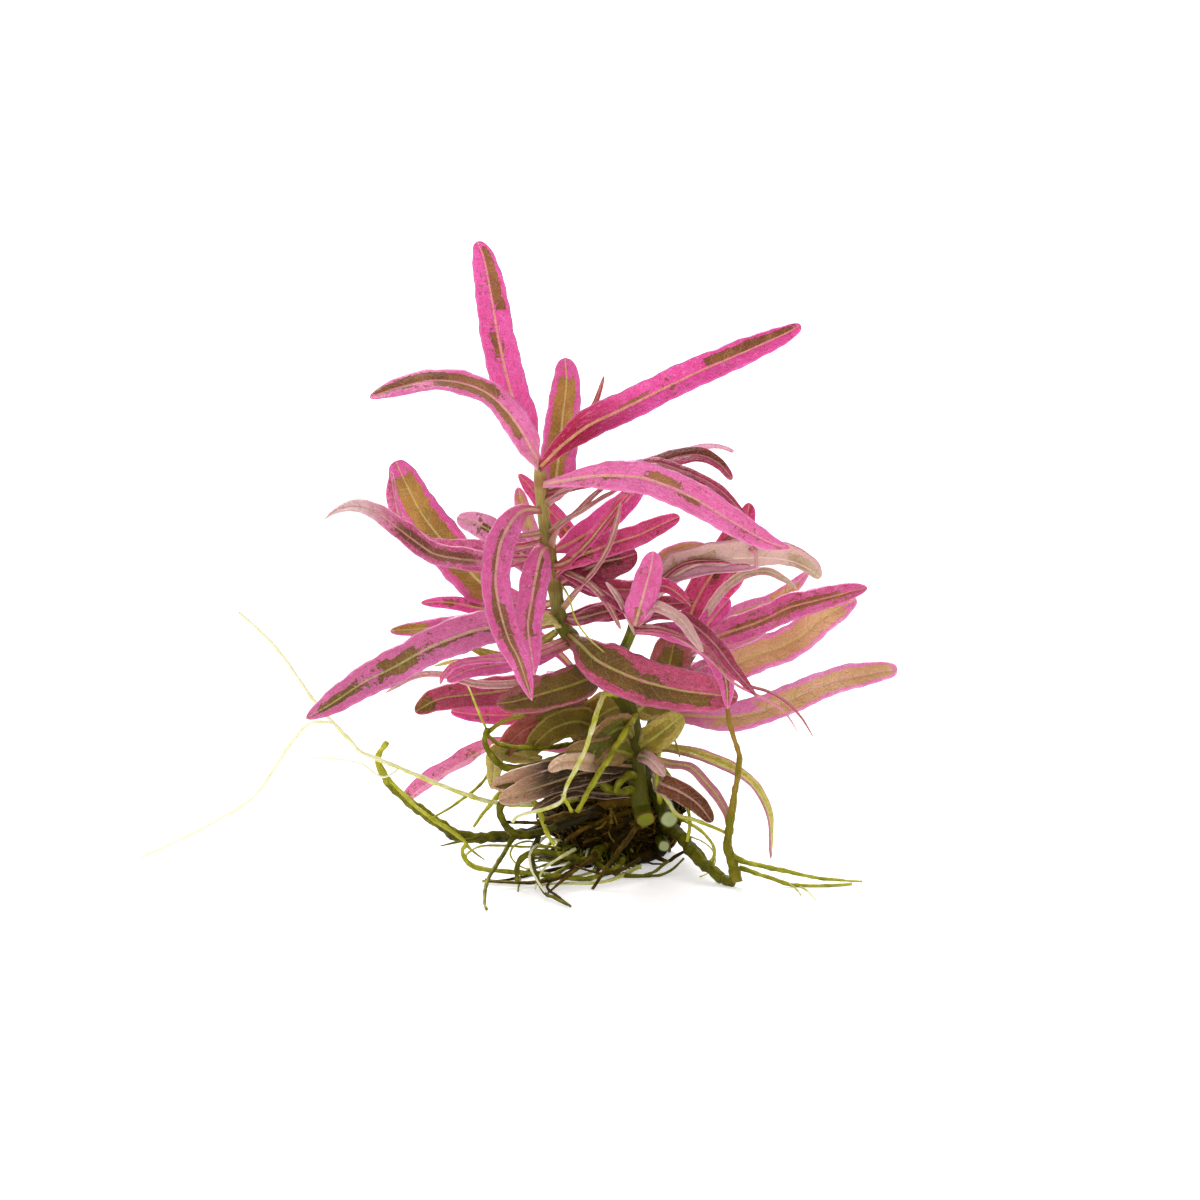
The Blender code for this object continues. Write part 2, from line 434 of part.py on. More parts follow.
def add_object(name, bm, origin, tint, plant):
    """Turns a bmesh in world millimetres into an object whose origin is where the piece begins."""
    bmesh.ops.translate(bm, verts=bm.verts, vec=[-value for value in origin])
    bmesh.ops.scale(bm, verts=bm.verts, vec=(MM, MM, MM))
    bmesh.ops.recalc_face_normals(bm, faces=bm.faces)
    mesh = bpy.data.meshes.new(name)
    bm.to_mesh(mesh)
    bm.free()
    mesh.shade_smooth()
    mesh.set_sharp_from_angle(angle=SHARP_ANGLE)
    mesh.materials.append(finish(tint))
    piece = bpy.data.objects.new(name, mesh)
    piece.location = [value * MM for value in origin]
    piece.parent = plant
    bpy.context.scene.collection.objects.link(piece)


def add_swept(name, rings, tint, plant):
    """A closed solid through a row of rings, with both ends filled."""
    bm = bmesh.new()
    loops = [[bm.verts.new(point) for point in ring] for ring in rings]
    for near, far in zip(loops, loops[1:]):
        for i in range(len(near)):
            j = (i + 1) % len(near)
            bm.faces.new((near[i], near[j], far[j], far[i]))
    bm.faces.new(loops[0][::-1])
    bm.faces.new(loops[-1])
    add_object(name, bm, rings[0].mean(axis=0), tint, plant)


def add_tube(tube, sides, step, clearance, tubes, plant):
    """A stem or root. It never sinks below the surface that the plant stands on."""
    curve = grown_curve(tube.points, tube.parent, clearance, tubes)
    path = even_points(curve, step)
    share = share_along(path)[0]
    radii = tube.start_radius + (tube.end_radius - tube.start_radius) * share
    path[:, 2] = np.maximum(path[:, 2], radii)
    tubes[tube.name] = (tube, curve)
    add_swept(tube.name, tube_rings(path, radii, sides), tube.tint, plant)


def add_plug(plant):
    """The lump of dark packed roots, cut flat where it stands."""
    bm = bmesh.new()
    bmesh.ops.create_icosphere(bm, subdivisions=PLUG_SUBDIVISIONS, radius=1)
    directions = unit(np.array([vert.co for vert in bm.verts]))
    surface = PLUG_CENTRE + directions * plug_scale(directions)[:, None] * PLUG_RADII
    for vert, point in zip(bm.verts, surface):
        vert.co = point
    everything = bm.verts[:] + bm.edges[:] + bm.faces[:]
    cut = bmesh.ops.bisect_plane(
        bm, geom=everything, plane_co=(0, 0, 0), plane_no=(0, 0, 1), clear_inner=True)
    rim = [item for item in cut["geom_cut"] if isinstance(item, bmesh.types.BMEdge)]
    bmesh.ops.contextual_create(bm, geom=rim)
    add_object("root_plug", bm, (0, 0, 0), "plug", plant)


def main():
    for old in list(bpy.data.objects):
        bpy.data.objects.remove(old)
    plant = bpy.data.objects.new("plant", None)
    bpy.context.scene.collection.objects.link(plant)
    tubes = {}
    add_plug(plant)
    for stem in STEMS:
        add_tube(stem, STEM_SIDES, STEM_RING_STEP, STEM_START_CLEARANCE, tubes, plant)
    for root in ROOTS:
        add_tube(root, ROOT_SIDES, ROOT_RING_STEP, ROOT_START_CLEARANCE, tubes, plant)
    for leaf in LEAVES:
        add_swept(leaf.name, leaf_rings(leaf, tubes), leaf.tint, plant)


main()
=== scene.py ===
"""A pink aquarium stem plant with lance-shaped leaves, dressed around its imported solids.

The shapes are drawn in millimetres on the front view, which looks down at the plant by VIEW_TILT. A point
there is (across, rise, depth): across and rise lie in the picture plane, depth runs away from the viewer.
World axes: +X to the right of the front view, +Y away from it, +Z up, with the origin in the middle of the
root plug's flat underside. The first point of a leaf or root lies on the axis of what it grows from.
"""

import json
import math
from collections import namedtuple
from functools import cache

import bpy
import numpy as np
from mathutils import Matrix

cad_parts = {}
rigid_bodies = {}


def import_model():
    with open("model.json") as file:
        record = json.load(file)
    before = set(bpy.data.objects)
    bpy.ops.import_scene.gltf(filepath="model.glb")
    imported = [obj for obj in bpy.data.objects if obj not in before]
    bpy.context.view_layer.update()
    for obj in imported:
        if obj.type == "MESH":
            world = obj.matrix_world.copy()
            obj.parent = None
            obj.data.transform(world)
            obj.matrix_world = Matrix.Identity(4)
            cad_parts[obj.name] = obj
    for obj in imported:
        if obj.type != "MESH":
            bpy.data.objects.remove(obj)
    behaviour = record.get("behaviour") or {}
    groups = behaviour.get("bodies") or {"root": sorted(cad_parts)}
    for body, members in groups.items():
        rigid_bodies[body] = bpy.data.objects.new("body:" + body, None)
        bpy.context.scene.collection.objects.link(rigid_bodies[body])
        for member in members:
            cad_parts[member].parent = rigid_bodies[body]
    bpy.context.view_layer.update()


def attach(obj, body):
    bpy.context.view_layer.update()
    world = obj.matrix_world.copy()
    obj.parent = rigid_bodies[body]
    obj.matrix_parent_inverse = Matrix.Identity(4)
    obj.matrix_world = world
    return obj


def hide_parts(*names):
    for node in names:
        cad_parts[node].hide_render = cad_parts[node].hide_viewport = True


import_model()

bl_info = {
    "name": "Pink Stem Plant",
    "version": (1, 0, 0),
    "blender": (4, 5, 0),
    "location": "View3D > Sidebar > Plant",
    "description": "Builds the leaves, stems, roots and stage of a pink aquarium stem plant",
    "category": "Object",
}

MM = 0.001
VIEW_TILT = math.radians(15)
FOOT_ACROSS = -0.9
FOOT_DEPTH = 9.5

# Leaf outline: the same rule as the solids follow
PETIOLE_WIDTH = 1.0
WIDENING_SHARE = 0.35
TIP_SHARE = 0.45
TIP_BLUNTNESS = 3
BLUNT_TIP = 0.5
TAPER_SHARE = 0.2
WIDEST_SHARE = 0.4
CURVE_STEPS = 24
SOLID_RING_STEP = 2.4
SOLID_SMOOTHING_PASSES = 2

# Root plug
PLUG_CENTRE = (0, 0, 6.3)
PLUG_RADII = (9.3, 6.8, 7.2)
PLUG_LUMP_SHARE = 0.07

# Leaf skins, in millimetres or as shares. A wave is its rate along the blade and its height.
JOIN_DEPTH = 0.35
FRAME_STEP = 0.6
LEAF_ROW_STEP = 0.55
MIN_LEAF_ROWS = 24
LEAF_COLUMNS = 14
LAST_SHARE = 0.998
TIP_CROWDING = 1.35
TIP_STEP = 0.3
MARGIN_WAVES = ((0.55, 1), (1.3, 1), (2.6, 1))
MARGIN_UNEVENNESS = 0.022
RUFFLE_WAVES = ((0.75, 1), (1.275, 0.6))
CUP_POWER = 1.5
VEIN_SLANT = 0.5
VEIN_CURL = 0.26
QUILT_HEIGHT = 0.10
RIB_HALF_WIDTH = 0.34
GROOVE_DEPTH = 0.12
KEEL_DEPTH = 0.30
KEEL_TAPER = 0.7
PETIOLE_THICKNESS = 0.8
ROUNDEST_BODY = 0.8
BASE_FADE = 0.3
FADE_STEEPNESS = 1.6
PATCH_FADE_ALONG = 0.10
PATCH_FADE_ACROSS = 0.45

# Stem and root skins. A wave is its rate along the tube and how often it goes round.
RING_START = (0.3, 1.0, 0.2)
TUBE_SEED = 500
SMALL_ROOT_NUMBER = 40
TUBE_WAVES = ((0.9, 0), (1.7, 1), (3.1, 0), (4.3, 2))
MIN_TUBE_ROWS = 8
GROWTH_SHARES = (0, 0.6, 1)
NODE_LENGTH = 1.1
NODE_SWELL = 0.16
FLOOR_LIFT = 0.9
FLOOR_CLEARANCE = 0.02
STEM_AROUND = 24
STEM_ROW_STEP = 0.4
STEM_RIBS = 0.035
STEM_WOBBLE = 0.012
CUT_DISC, CUT_RIM = 0.45, 0.88
CUT_RIM_MARK = 0.82
ROOT_AROUND = 12
ROOT_ROW_STEP = 0.45
ROOT_WOBBLE = 0.08
# Painted light: how much paler the upper side of a stem or root is made, as if lit from above
PAINTED_TOP_LIGHT = 0.13

# Plug skin, the fine roots wound over it, and the mat at its foot
PLUG_ROWS = 90
PLUG_AROUND = 180
PLUG_WAVES = 36
PLUG_WAVE_RATES = (9, 42)
PLUG_ROUGHNESS = 0.05
FIBRE_COUNT = 640
FIBRE_ROWS = 14
FIBRE_AROUND = 5
FIBRE_RADII = (0.10, 0.30)
FIBRE_REACHES = (0.35, 1.3)
FIBRE_SWAY = 0.16
FIBRE_LENGTH = 9
FIBRE_SEED = 7
FIBRE_TONES = ((0.05, 0.16, 0.3, 0.46, 0.66), (0.22, 0.26, 0.26, 0.16, 0.1))
ANY_PHASE = (0, 6.3)
MAT_COUNT = 130
MAT_ANGLES = (188, 284)
MAT_FOOT_SHARE = 0.72
MAT_FAN = 0.9
MAT_LENGTHS = (2.2, 7.0)
MAT_RADII = (0.14, 0.34)
MAT_RISE = 2.2
MAT_SWAY = 0.14
MAT_TONES = ((0.04, 0.18, 0.3, 0.6, 0.95), (0.26, 0.3, 0.22, 0.12, 0.1))

# A leaf's finish, the piece it grows from, its width, how it leans and turns to the viewer, and its points.
# Patches are brown: start and end share, side of the rib (0 for both), and reach out from the rib. Base is
# the share with the base colour, and faded the share that is pale at the tip.
Leaf = namedtuple(
    "Leaf", "name finish stem width lean points patches tip_lean yaw tip_yaw widening point cup roll ruffle "
    "base faded", defaults=((), None, 0, None, WIDENING_SHARE, BLUNT_TIP, 0.15, 0, 1, 0.3, 0))

# A stem or root, with its tones from start to end: 0 is dark olive or old, 1 cream or young. Growth is its
# thickness against its solid's at the start, past the middle and at the end.
Tube = namedtuple(
    "Tube", "name parent start_radius end_radius tones points finish nodes growth",
    defaults=("green", (), (1, 1, 1)))

STEMS = [
    Tube("main_stem", None, 1.4, 0.85, (-0.75, 1.05), [
        (3.6, 7.2, -1.8), (3, 9, 0.2), (2.5, 12.5, 0.8), (2.2, 16, 1.5), (1.6, 21.3, 1.8), (0.3, 24.5, 1.5),
        (-3.5, 29, 0), (-7, 33, -2.2), (-8.4, 35.5, -3.3), (-8.9, 38.5, -3.8), (-9.6, 43, -4.1),
        (-10.1, 46, -4.2), (-10.8, 51, -4.4), (-11.2, 56.6, -4.5)], finish="stem_upper",
        nodes=(0.2, 0.545, 0.60, 0.70, 0.795, 0.965)),
    Tube("middle_shoot", "main_stem", 0.8, 0.7, (0.4, 0.9), [
        (0, 25, 0.8), (-0.3, 28, -3.3), (0.3, 30.5, -4.8), (1.3, 32.9, -6.3), (2.3, 35.3, -7.2)],
        finish="stem_lower", nodes=(0.95,)),
    Tube("right_shoot", None, 1.35, 0.8, (0.1, 0.5), [
        (6.9, 7.3, -1.6), (6.6, 8, 0), (6, 9.6, 1.6), (5, 12, 3), (4.3, 15, 5.6), (4.3, 18.5, 8),
        (5.4, 22, 9), (7.8, 27, 9.5), (10.8, 32, 9.3)], finish="stem_lower", nodes=(0.35, 0.7, 0.98)),
    Tube("left_shoot", "root_plug", 1, 0.8, (0.1, 0.3), [
        (0.6, 13, 6.4), (-0.8, 15.8, 7.2), (-2.5, 18.5, 8.4), (-5, 23, 9.4), (-6.5, 28.5, 9.8)],
        finish="stem_upper", nodes=(0.5, 0.98)),
    Tube("cut_stem", "root_plug", 0.8, 0.85, (0.3, 0.3), [
        (5.5, 4.6, 6), (6, 3.9, 2), (6.2, 3.5, -0.6)], finish="stem_lower"),
]

CROWN_LEAVES = [
    Leaf("crown_leaf_top", "hot_pink", "main_stem", 5, 0, [
        (-11.2, 56.6, -4.5), (-13, 61.5, -2.7), (-15.1, 66.8, -0.9), (-16.8, 73.8, 1.2), (-17.9, 80.1, 3),
        (-18.9, 85.4, 4.2), (-19.9, 88.1, 4.5)], patches=[(0.7, 0.97, 1, 0.72), (0.49, 0.6, -1, 0.42),
        (0.5, 0.55, 1, 0.3)], widening=0.25, point=0.4),
    Leaf("crown_leaf_left", "soft_pink", "main_stem", 4.3, 45, [
        (-11.2, 56, -4.5), (-12.2, 58.4, -6.9), (-13.6, 61.2, -8.1), (-15.9, 64.4, -9), (-18.8, 66.9, -9.9),
        (-22.6, 68.2, -10.8), (-26.6, 68.4, -11.7), (-31.5, 67.2, -12.9), (-34.7, 66.1, -13.5)],
        patches=[(0.4, 0.97, 1, 0.68), (0.2, 0.72, -1, 0.58), (0.82, 0.95, -1, 0.36)], tip_lean=55,
        widening=0.2, point=0.45, base=0.24),
    Leaf("crown_leaf_back", "spring", "main_stem", 5.1, 5, [
        (-10.8, 51, -4.3), (-9.3, 53.5, 0.8), (-8.6, 58, 3.8), (-8, 64, 6.3), (-7.5, 68.5, 7.5),
        (-7.7, 72, 8.1)], patches=[(0.2, 0.55, 0, 0.42), (0.45, 0.9, 0, 0.6)], point=0.4),
    Leaf("crown_leaf_right", "folded_pink", "main_stem", 4.4, 25, [
        (-11.2, 56.3, -4.5), (-9.6, 58, -7.2), (-7.6, 59.9, -8.1), (-4.2, 62.4, -8.7), (0, 64.4, -9),
        (5.6, 67.2, -9.3), (11.2, 69.9, -9), (16.8, 72.3, -8.4), (22.4, 74.8, -7.8), (25.1, 76.2, -7.5)],
        patches=[(0.66, 0.97, -1, 0.66), (0.38, 0.46, -1, 0.24)], widening=0.3, point=0.4, cup=0.9,
        roll=-0.9, base=0.5),
]

UPPER_RIGHT_LEAVES = [
    Leaf("arching_leaf_right", "soft_pink", "main_stem", 4.7, 20, [
        (-11.1, 54.1, -4.5), (-8, 54.6, -8.4), (-4.2, 55.2, -12), (0, 55.3, -14.2), (4.2, 54.7, -16.2),
        (9.8, 52.4, -18), (15.4, 49, -19.5), (20.3, 46.2, -20.4), (23.8, 45.2, -21)],
        patches=[(0.46, 0.58, -1, 0.55), (0.56, 0.66, 1, 0.3), (0.3, 0.36, 1, 0.3)], widening=0.45,
        point=0.8, base=0.16),
    Leaf("pale_leaf_behind", "blush", "main_stem", 3.4, 115, [
        (-10.8, 51.6, -4.3), (-7, 54, -1.5), (-2.8, 55.9, 1.5), (4.2, 57, 4.5), (8.4, 58.8, 6),
        (13.3, 59.6, 6.9), (16, 58.9, 7.2)], point=0.4),
    Leaf("curled_leaf_dark", "maroon", "main_stem", 3.2, 55, [
        (-10.9, 52.4, -4.3), (-7.5, 53.6, -6.3), (-4, 54.6, -6.9), (1, 55.5, -6.6), (5, 57, -6),
        (8.4, 58, -5.1), (11.2, 58.2, -4.5), (13.8, 57, -4.2), (15.6, 54.9, -3.9)],
        patches=[(0.25, 0.93, -1, 0.85)], point=0.4),
    Leaf("mid_leaf_right", "crimson", "main_stem", 3.5, 30, [
        (-9.6, 42.8, -4.1), (-8, 43, -6.6), (-5.6, 44.2, -7.8), (-1.4, 45.8, -8.4), (2.8, 47.2, -9),
        (5.8, 48.6, -9.3), (8.3, 49.7, -9.6)], patches=[(0.05, 0.35, 0, 0.3)], point=0.4),
    Leaf("mid_leaf_blotched", "hot_pink", "main_stem", 3.8, 10, [
        (-9.9, 44.8, -4.2), (-7.5, 45.8, -1.2), (-4.6, 47.5, 0.6), (-1.4, 50, 1.8), (1.5, 52.5, 2.7),
        (3.2, 54.4, 3.3)], patches=[(0.28, 0.66, 1, 0.7)]),
    Leaf("speckled_leaf_behind", "speckled", "main_stem", 2.8, 10, [
        (-9, 39.5, -3.8), (-7.2, 42.5, -0.3), (-6.2, 45, 2.2), (-7.8, 48.2, 4.2), (-10.4, 51.3, 5.4),
        (-12.5, 53.8, 6), (-14.2, 55.8, 6.3)], patches=[(0.1, 0.5, 0, 0.5)]),
]

MIDDLE_SHOOT_LEAVES = [
    Leaf("middle_leaf_upright", "rose", "middle_shoot", 4.2, 5, [
        (1.9, 34.2, -6.9), (2.6, 36.6, -10.2), (3.4, 39.4, -11.7), (4.3, 42.8, -12.9), (4.6, 44.9, -13.5)],
        patches=[(0.05, 0.35, 0, 0.25)]),
    Leaf("torn_leaf_grey", "pale_and_sheen", "middle_shoot", 5.4, 148, [
        (2.3, 34.6, -7.2), (3.6, 37.4, -4.5), (6, 40.5, -3.9), (11.2, 43.4, -4.5), (18.2, 44.2, -5.4),
        (23, 43.9, -6.3), (26, 42.8, -6.9), (28, 41.2, -7.5)], patches=[(0.26, 0.5, 1, 0.5),
        (0.84, 1, 0, 0.5)], point=0.4, cup=0.3, ruffle=1.6),
    Leaf("drooping_leaf_dark", "maroon", "middle_shoot", 2.6, 65, [
        (2.3, 34.6, -7.2), (4.4, 35.7, -6.9), (7.5, 35.8, -8.7), (9.8, 34.8, -10.8), (13, 32, -14.1),
        (15.6, 28.6, -15.9), (19.2, 24.4, -17.1)], point=0.9),
    Leaf("hanging_leaf", "rose", "middle_shoot", 2.9, 20, [
        (2, 33.8, -6.9), (6.5, 33.8, -9), (10.5, 32.6, -10.2), (13, 30.4, -11.1), (14.7, 27, -12),
        (15, 22.9, -12.6)], patches=[(0.5, 0.95, 0, 0.3)], tip_lean=0, point=0.7),
]

RIGHT_SHOOT_LEAVES = [
    Leaf("rising_leaf_right", "crimson", "right_shoot", 4.4, 10, [
        (10.6, 31.6, 9.3), (9.9, 35.5, 9.9), (11.2, 38.8, 10.8), (12.9, 41.6, 11.7), (16, 46.5, 12.6),
        (17.8, 49.8, 13.2), (18.2, 51.8, 13.5)], patches=[(0.45, 0.8, 0, 0.5)]),
    Leaf("rising_leaf_behind", "crimson", "right_shoot", 3.9, 10, [
        (10.8, 32, 9.3), (10.9, 34.7, 13.8), (12.4, 37.6, 15.9), (15.1, 40.6, 17.1), (17, 43.2, 18),
        (18.6, 45.6, 18.6)], patches=[(0.3, 0.7, 0, 0.5)]),
    Leaf("small_leaf_right", "folded_pink", "right_shoot", 3.2, 10, [
        (10.8, 31.8, 9.3), (12, 34.1, 7.2), (13.5, 36.2, 6.3), (15.4, 38.3, 5.7)]),
    Leaf("right_leaf_upper", "speckled", "right_shoot", 4.4, 40, [
        (9.8, 30.3, 9.3), (12.9, 32.6, 3.6), (16.8, 34, 1.8), (20.3, 35.3, 0.6), (23.8, 37, -0.3),
        (28, 38.1, -1.2), (32.2, 39.2, -2.4), (34.6, 39.8, -3)], patches=[(0.16, 0.94, 1, 0.34),
        (0.3, 0.86, -1, 0.26)]),
    Leaf("right_leaf_middle", "tan", "right_shoot", 5, 15, [
        (8.3, 28, 9.4), (11.5, 27.4, 7.8), (15.1, 28.6, 6.9), (19.6, 30.6, 6.3), (22.4, 31.5, 5.8),
        (25.2, 32.9, 5.4), (28, 35.3, 4.8), (31.5, 37.4, 4.2), (33.2, 38.2, 3.9)],
        patches=[(0.08, 0.93, 0, 0.7)], point=0.4),
    Leaf("right_leaf_low", "tan", "right_shoot", 4.4, 30, [
        (5, 21, 9), (8.4, 21.8, 5.2), (14, 21.6, 2.2), (18.2, 22.1, 0.6), (22.4, 23.5, -0.6),
        (29.4, 26.5, -2.4), (35, 27.8, -3.6), (38.8, 28.4, -4.5)], patches=[(0.25, 0.99, 1, 0.72),
        (0.45, 0.99, -1, 0.62)], point=0.28),
    Leaf("broad_leaf_behind", "olive", "right_shoot", 6, 10, [
        (7, 25.2, 9.4), (6.6, 26.2, 6.6), (7, 29.2, 4.6), (8, 33.8, 3.4)], patches=[(0, 0.8, 0, 0.6)]),
    Leaf("arching_leaf_low", "arch", "right_shoot", 2.4, 50, [
        (4.2, 16.5, 7.8), (6.4, 17.2, 4.5), (11.2, 16.3, 1.5), (16.8, 13.8, -1.5), (19.6, 10.9, -3.6),
        (21, 7.3, -5.4), (21.1, 1.8, -7.5)], patches=[(0, 1, 0, 0.62)], tip_lean=0, tip_yaw=70, point=0.8),
    Leaf("back_leaf_right", "rose", "right_shoot", 4.4, 80, [
        (8.6, 28.4, 9.4), (9.3, 29, 16.5), (10.4, 28, 25.5), (11.4, 26.4, 34.5)],
        patches=[(0.3, 0.8, 0, 0.5)]),
]

LEFT_LEAVES = [
    Leaf("left_leaf_big", "spring", "main_stem", 6.2, 10, [
        (-8.8, 37.8, -3.6), (-11.8, 37.4, -0.9), (-16.8, 37.9, 2.2), (-19.3, 40.3, 3.9), (-21, 42, 4.8),
        (-24.7, 46.2, 6.6), (-27.8, 50.2, 7.8), (-29.9, 54.2, 8.7), (-31.5, 57.6, 9.1)],
        patches=[(0.26, 0.93, 0, 0.62)], point=0.32),
    Leaf("left_leaf_narrow", "streaked", "main_stem", 4, 50, [
        (-9.8, 43.8, -4.2), (-13.5, 43.6, -7.8), (-18.9, 43.4, -10.2), (-25.2, 44.2, -12),
        (-28, 45.8, -13.2), (-30.8, 47.9, -14.4), (-33.6, 50, -15.6), (-36.4, 51, -16.8), (-39.2, 50.5, -18),
        (-41.2, 49, -18.9)], patches=[(0.3, 0.68, 0, 0.5)], point=1.2, faded=0.34),
    Leaf("left_leaf_folded", "streaked", "main_stem", 3.2, 50, [
        (-10.1, 46.4, -4.2), (-13.5, 45.4, -5.1), (-18.6, 44.8, -4.8), (-25.2, 45.1, -3.9),
        (-27.9, 46.3, -3.3), (-30.3, 48.9, -2.4), (-31.3, 52, -1.5), (-31.9, 56, -0.6)], tip_lean=0,
        tip_yaw=-55, cup=0.5, ruffle=1.5),
    Leaf("left_leaf_middle", "rose_green", "main_stem", 4.1, 15, [
        (-9.6, 42, -4.1), (-12.5, 43.6, -1.2), (-16, 46.4, 0.3), (-19.6, 48.6, 1.5), (-22.8, 49.6, 2.4)],
        patches=[(0.35, 0.75, 0, 0.24)], widening=0.2, point=0.4, faded=0.45),
    Leaf("left_leaf_small", "spring", "left_shoot", 3.1, 45, [
        (-6.4, 28.2, 9.8), (-10, 31.6, 8.4), (-15.4, 34.1, 7.2), (-21, 34.8, 6.9), (-28, 34, 6.6),
        (-32.3, 33.7, 6.6)], patches=[(0.8, 0.99, 0, 0.7)], point=0.4, base=0),
    Leaf("long_leaf_lower_left", "rose_green", "main_stem", 5.3, 30, [
        (-8.3, 34.8, -3.2), (-12.6, 34.6, -6.9), (-17.2, 34.3, -8.7), (-21, 33.6, -9.9),
        (-26.6, 31.4, -11.7), (-31.5, 28.7, -13.2), (-35.7, 26.6, -14.4), (-39.9, 23.8, -15.6),
        (-43.7, 21.6, -16.5)], patches=[(0.14, 0.5, -1, 0.26), (0.54, 0.7, 0, 0.5), (0.78, 0.97, 0, 0.38)],
        point=0.6),
    Leaf("broad_leaf_lower_left", "dusky", "left_shoot", 4.6, 35, [
        (-5.6, 25, 9.8), (-9, 25.2, 5.1), (-14, 25.5, 1.5), (-19.6, 24.9, -0.6), (-25.2, 24.2, -2.4),
        (-28.7, 22.4, -3.3)], patches=[(0.9, 1, 0, 0.8), (0.35, 0.5, 1, 0.3)], point=0.4),
    Leaf("pink_leaf_low", "hot_pink", "left_shoot", 3, 35, [
        (-4.2, 21.4, 9.6), (-8.5, 21.6, 7.2), (-14, 21.8, 6), (-19.6, 21.9, 5.1), (-23.8, 22.4, 4.5)],
        point=0.4),
    Leaf("pale_leaf_low_left", "hot_pink", "left_shoot", 4.4, 140, [
        (-2.2, 18, 9.4), (-6.5, 16.9, 9.2), (-12, 17.4, 8.6), (-18.2, 17.6, 7.8), (-22.4, 15.4, 6.6),
        (-26.6, 12.9, 5.4), (-30.1, 10.2, 4.5)], widening=0.8, point=0.2),
    Leaf("back_leaf_left", "rose", "left_shoot", 4.4, 80, [
        (-6.2, 27.2, 9.8), (-7.6, 27.8, 16.5), (-9.4, 27, 25.5), (-11.6, 25.6, 34.5)],
        patches=[(0.3, 0.8, 0, 0.5)]),
]

FRONT_LEAVES = [
    Leaf("drooping_leaf_left", "rose", "main_stem", 4.2, 20, [
        (-10.8, 50.6, -4.3), (-14, 50.2, -9.9), (-16.4, 46.5, -13.8), (-17.2, 42.3, -15.9),
        (-17.2, 39.5, -17.1), (-16.5, 36, -18.6), (-15.4, 32.5, -19.8), (-14, 29.7, -20.7),
        (-12.2, 24.1, -21.9)], patches=[(0.28, 0.62, 1, 0.3), (0.6, 0.97, 0, 0.4)], tip_lean=0, point=0.8),
    Leaf("drooping_leaf_right", "rose", "main_stem", 4.1, 20, [
        (-9.9, 45.2, -4.2), (-10.9, 44.8, -8.1), (-11.8, 41, -10.5), (-12.3, 38.1, -11.7),
        (-12.8, 34.6, -12.9), (-12.4, 31, -13.8), (-11.9, 27.6, -14.4)], patches=[(0.2, 0.75, -1, 0.28),
        (0.45, 0.72, 1, 0.2)], tip_lean=0, point=0.8),
    Leaf("broad_leaf_centre_right", "dusky", "main_stem", 6.6, 20, [
        (-7.6, 33.6, -2.7), (-5.5, 31.8, -6.6), (-2.8, 29.4, -9), (2.8, 26.9, -10.2), (8.4, 25.5, -9.9),
        (13, 24.9, -8.7), (16.5, 24.5, -7.8)], patches=[(0.12, 0.86, 1, 0.62), (0, 0.42, -1, 0.7),
        (0.4, 0.6, -1, 0.3)]),
    Leaf("broad_leaf_centre_left", "olive", "main_stem", 5.2, 20, [
        (-2.2, 27.5, 0.4), (-4.5, 27, -4.6), (-7, 26.1, -6.9), (-10.5, 25.1, -9), (-14.5, 24, -10.5),
        (-17.2, 23.6, -11.4)], patches=[(0.05, 0.62, 0, 0.8), (0.5, 0.95, -1, 0.7), (0.6, 0.95, 1, 0.4)]),
    Leaf("oval_leaf", "bronze", "main_stem", 4.3, 10, [
        (2.2, 16.2, 1.5), (-0.5, 17, -3.4), (-3.5, 16.8, -5.4), (-7.7, 16.8, -6.8)],
        patches=[(0.15, 0.8, 1, 0.75)]),
    Leaf("olive_leaf_right", "green", "main_stem", 4.3, 10, [
        (2.2, 17.2, 1.8), (4.5, 18.6, -1.8), (6.7, 20.3, -3.6), (8.8, 22, -4.8)],
        patches=[(0.2, 0.8, 0, 0.5)]),
    Leaf("dusky_leaf_low", "mauve", "main_stem", 3.8, 30, [
        (2.4, 14.4, 1.5), (-2.8, 14.8, -2.4), (-8.4, 14, -4.2), (-13, 13.2, -5.4), (-17.9, 12, -6.6)],
        patches=[(0.84, 0.98, -1, 0.7)], point=0.4, base=0.86),
]

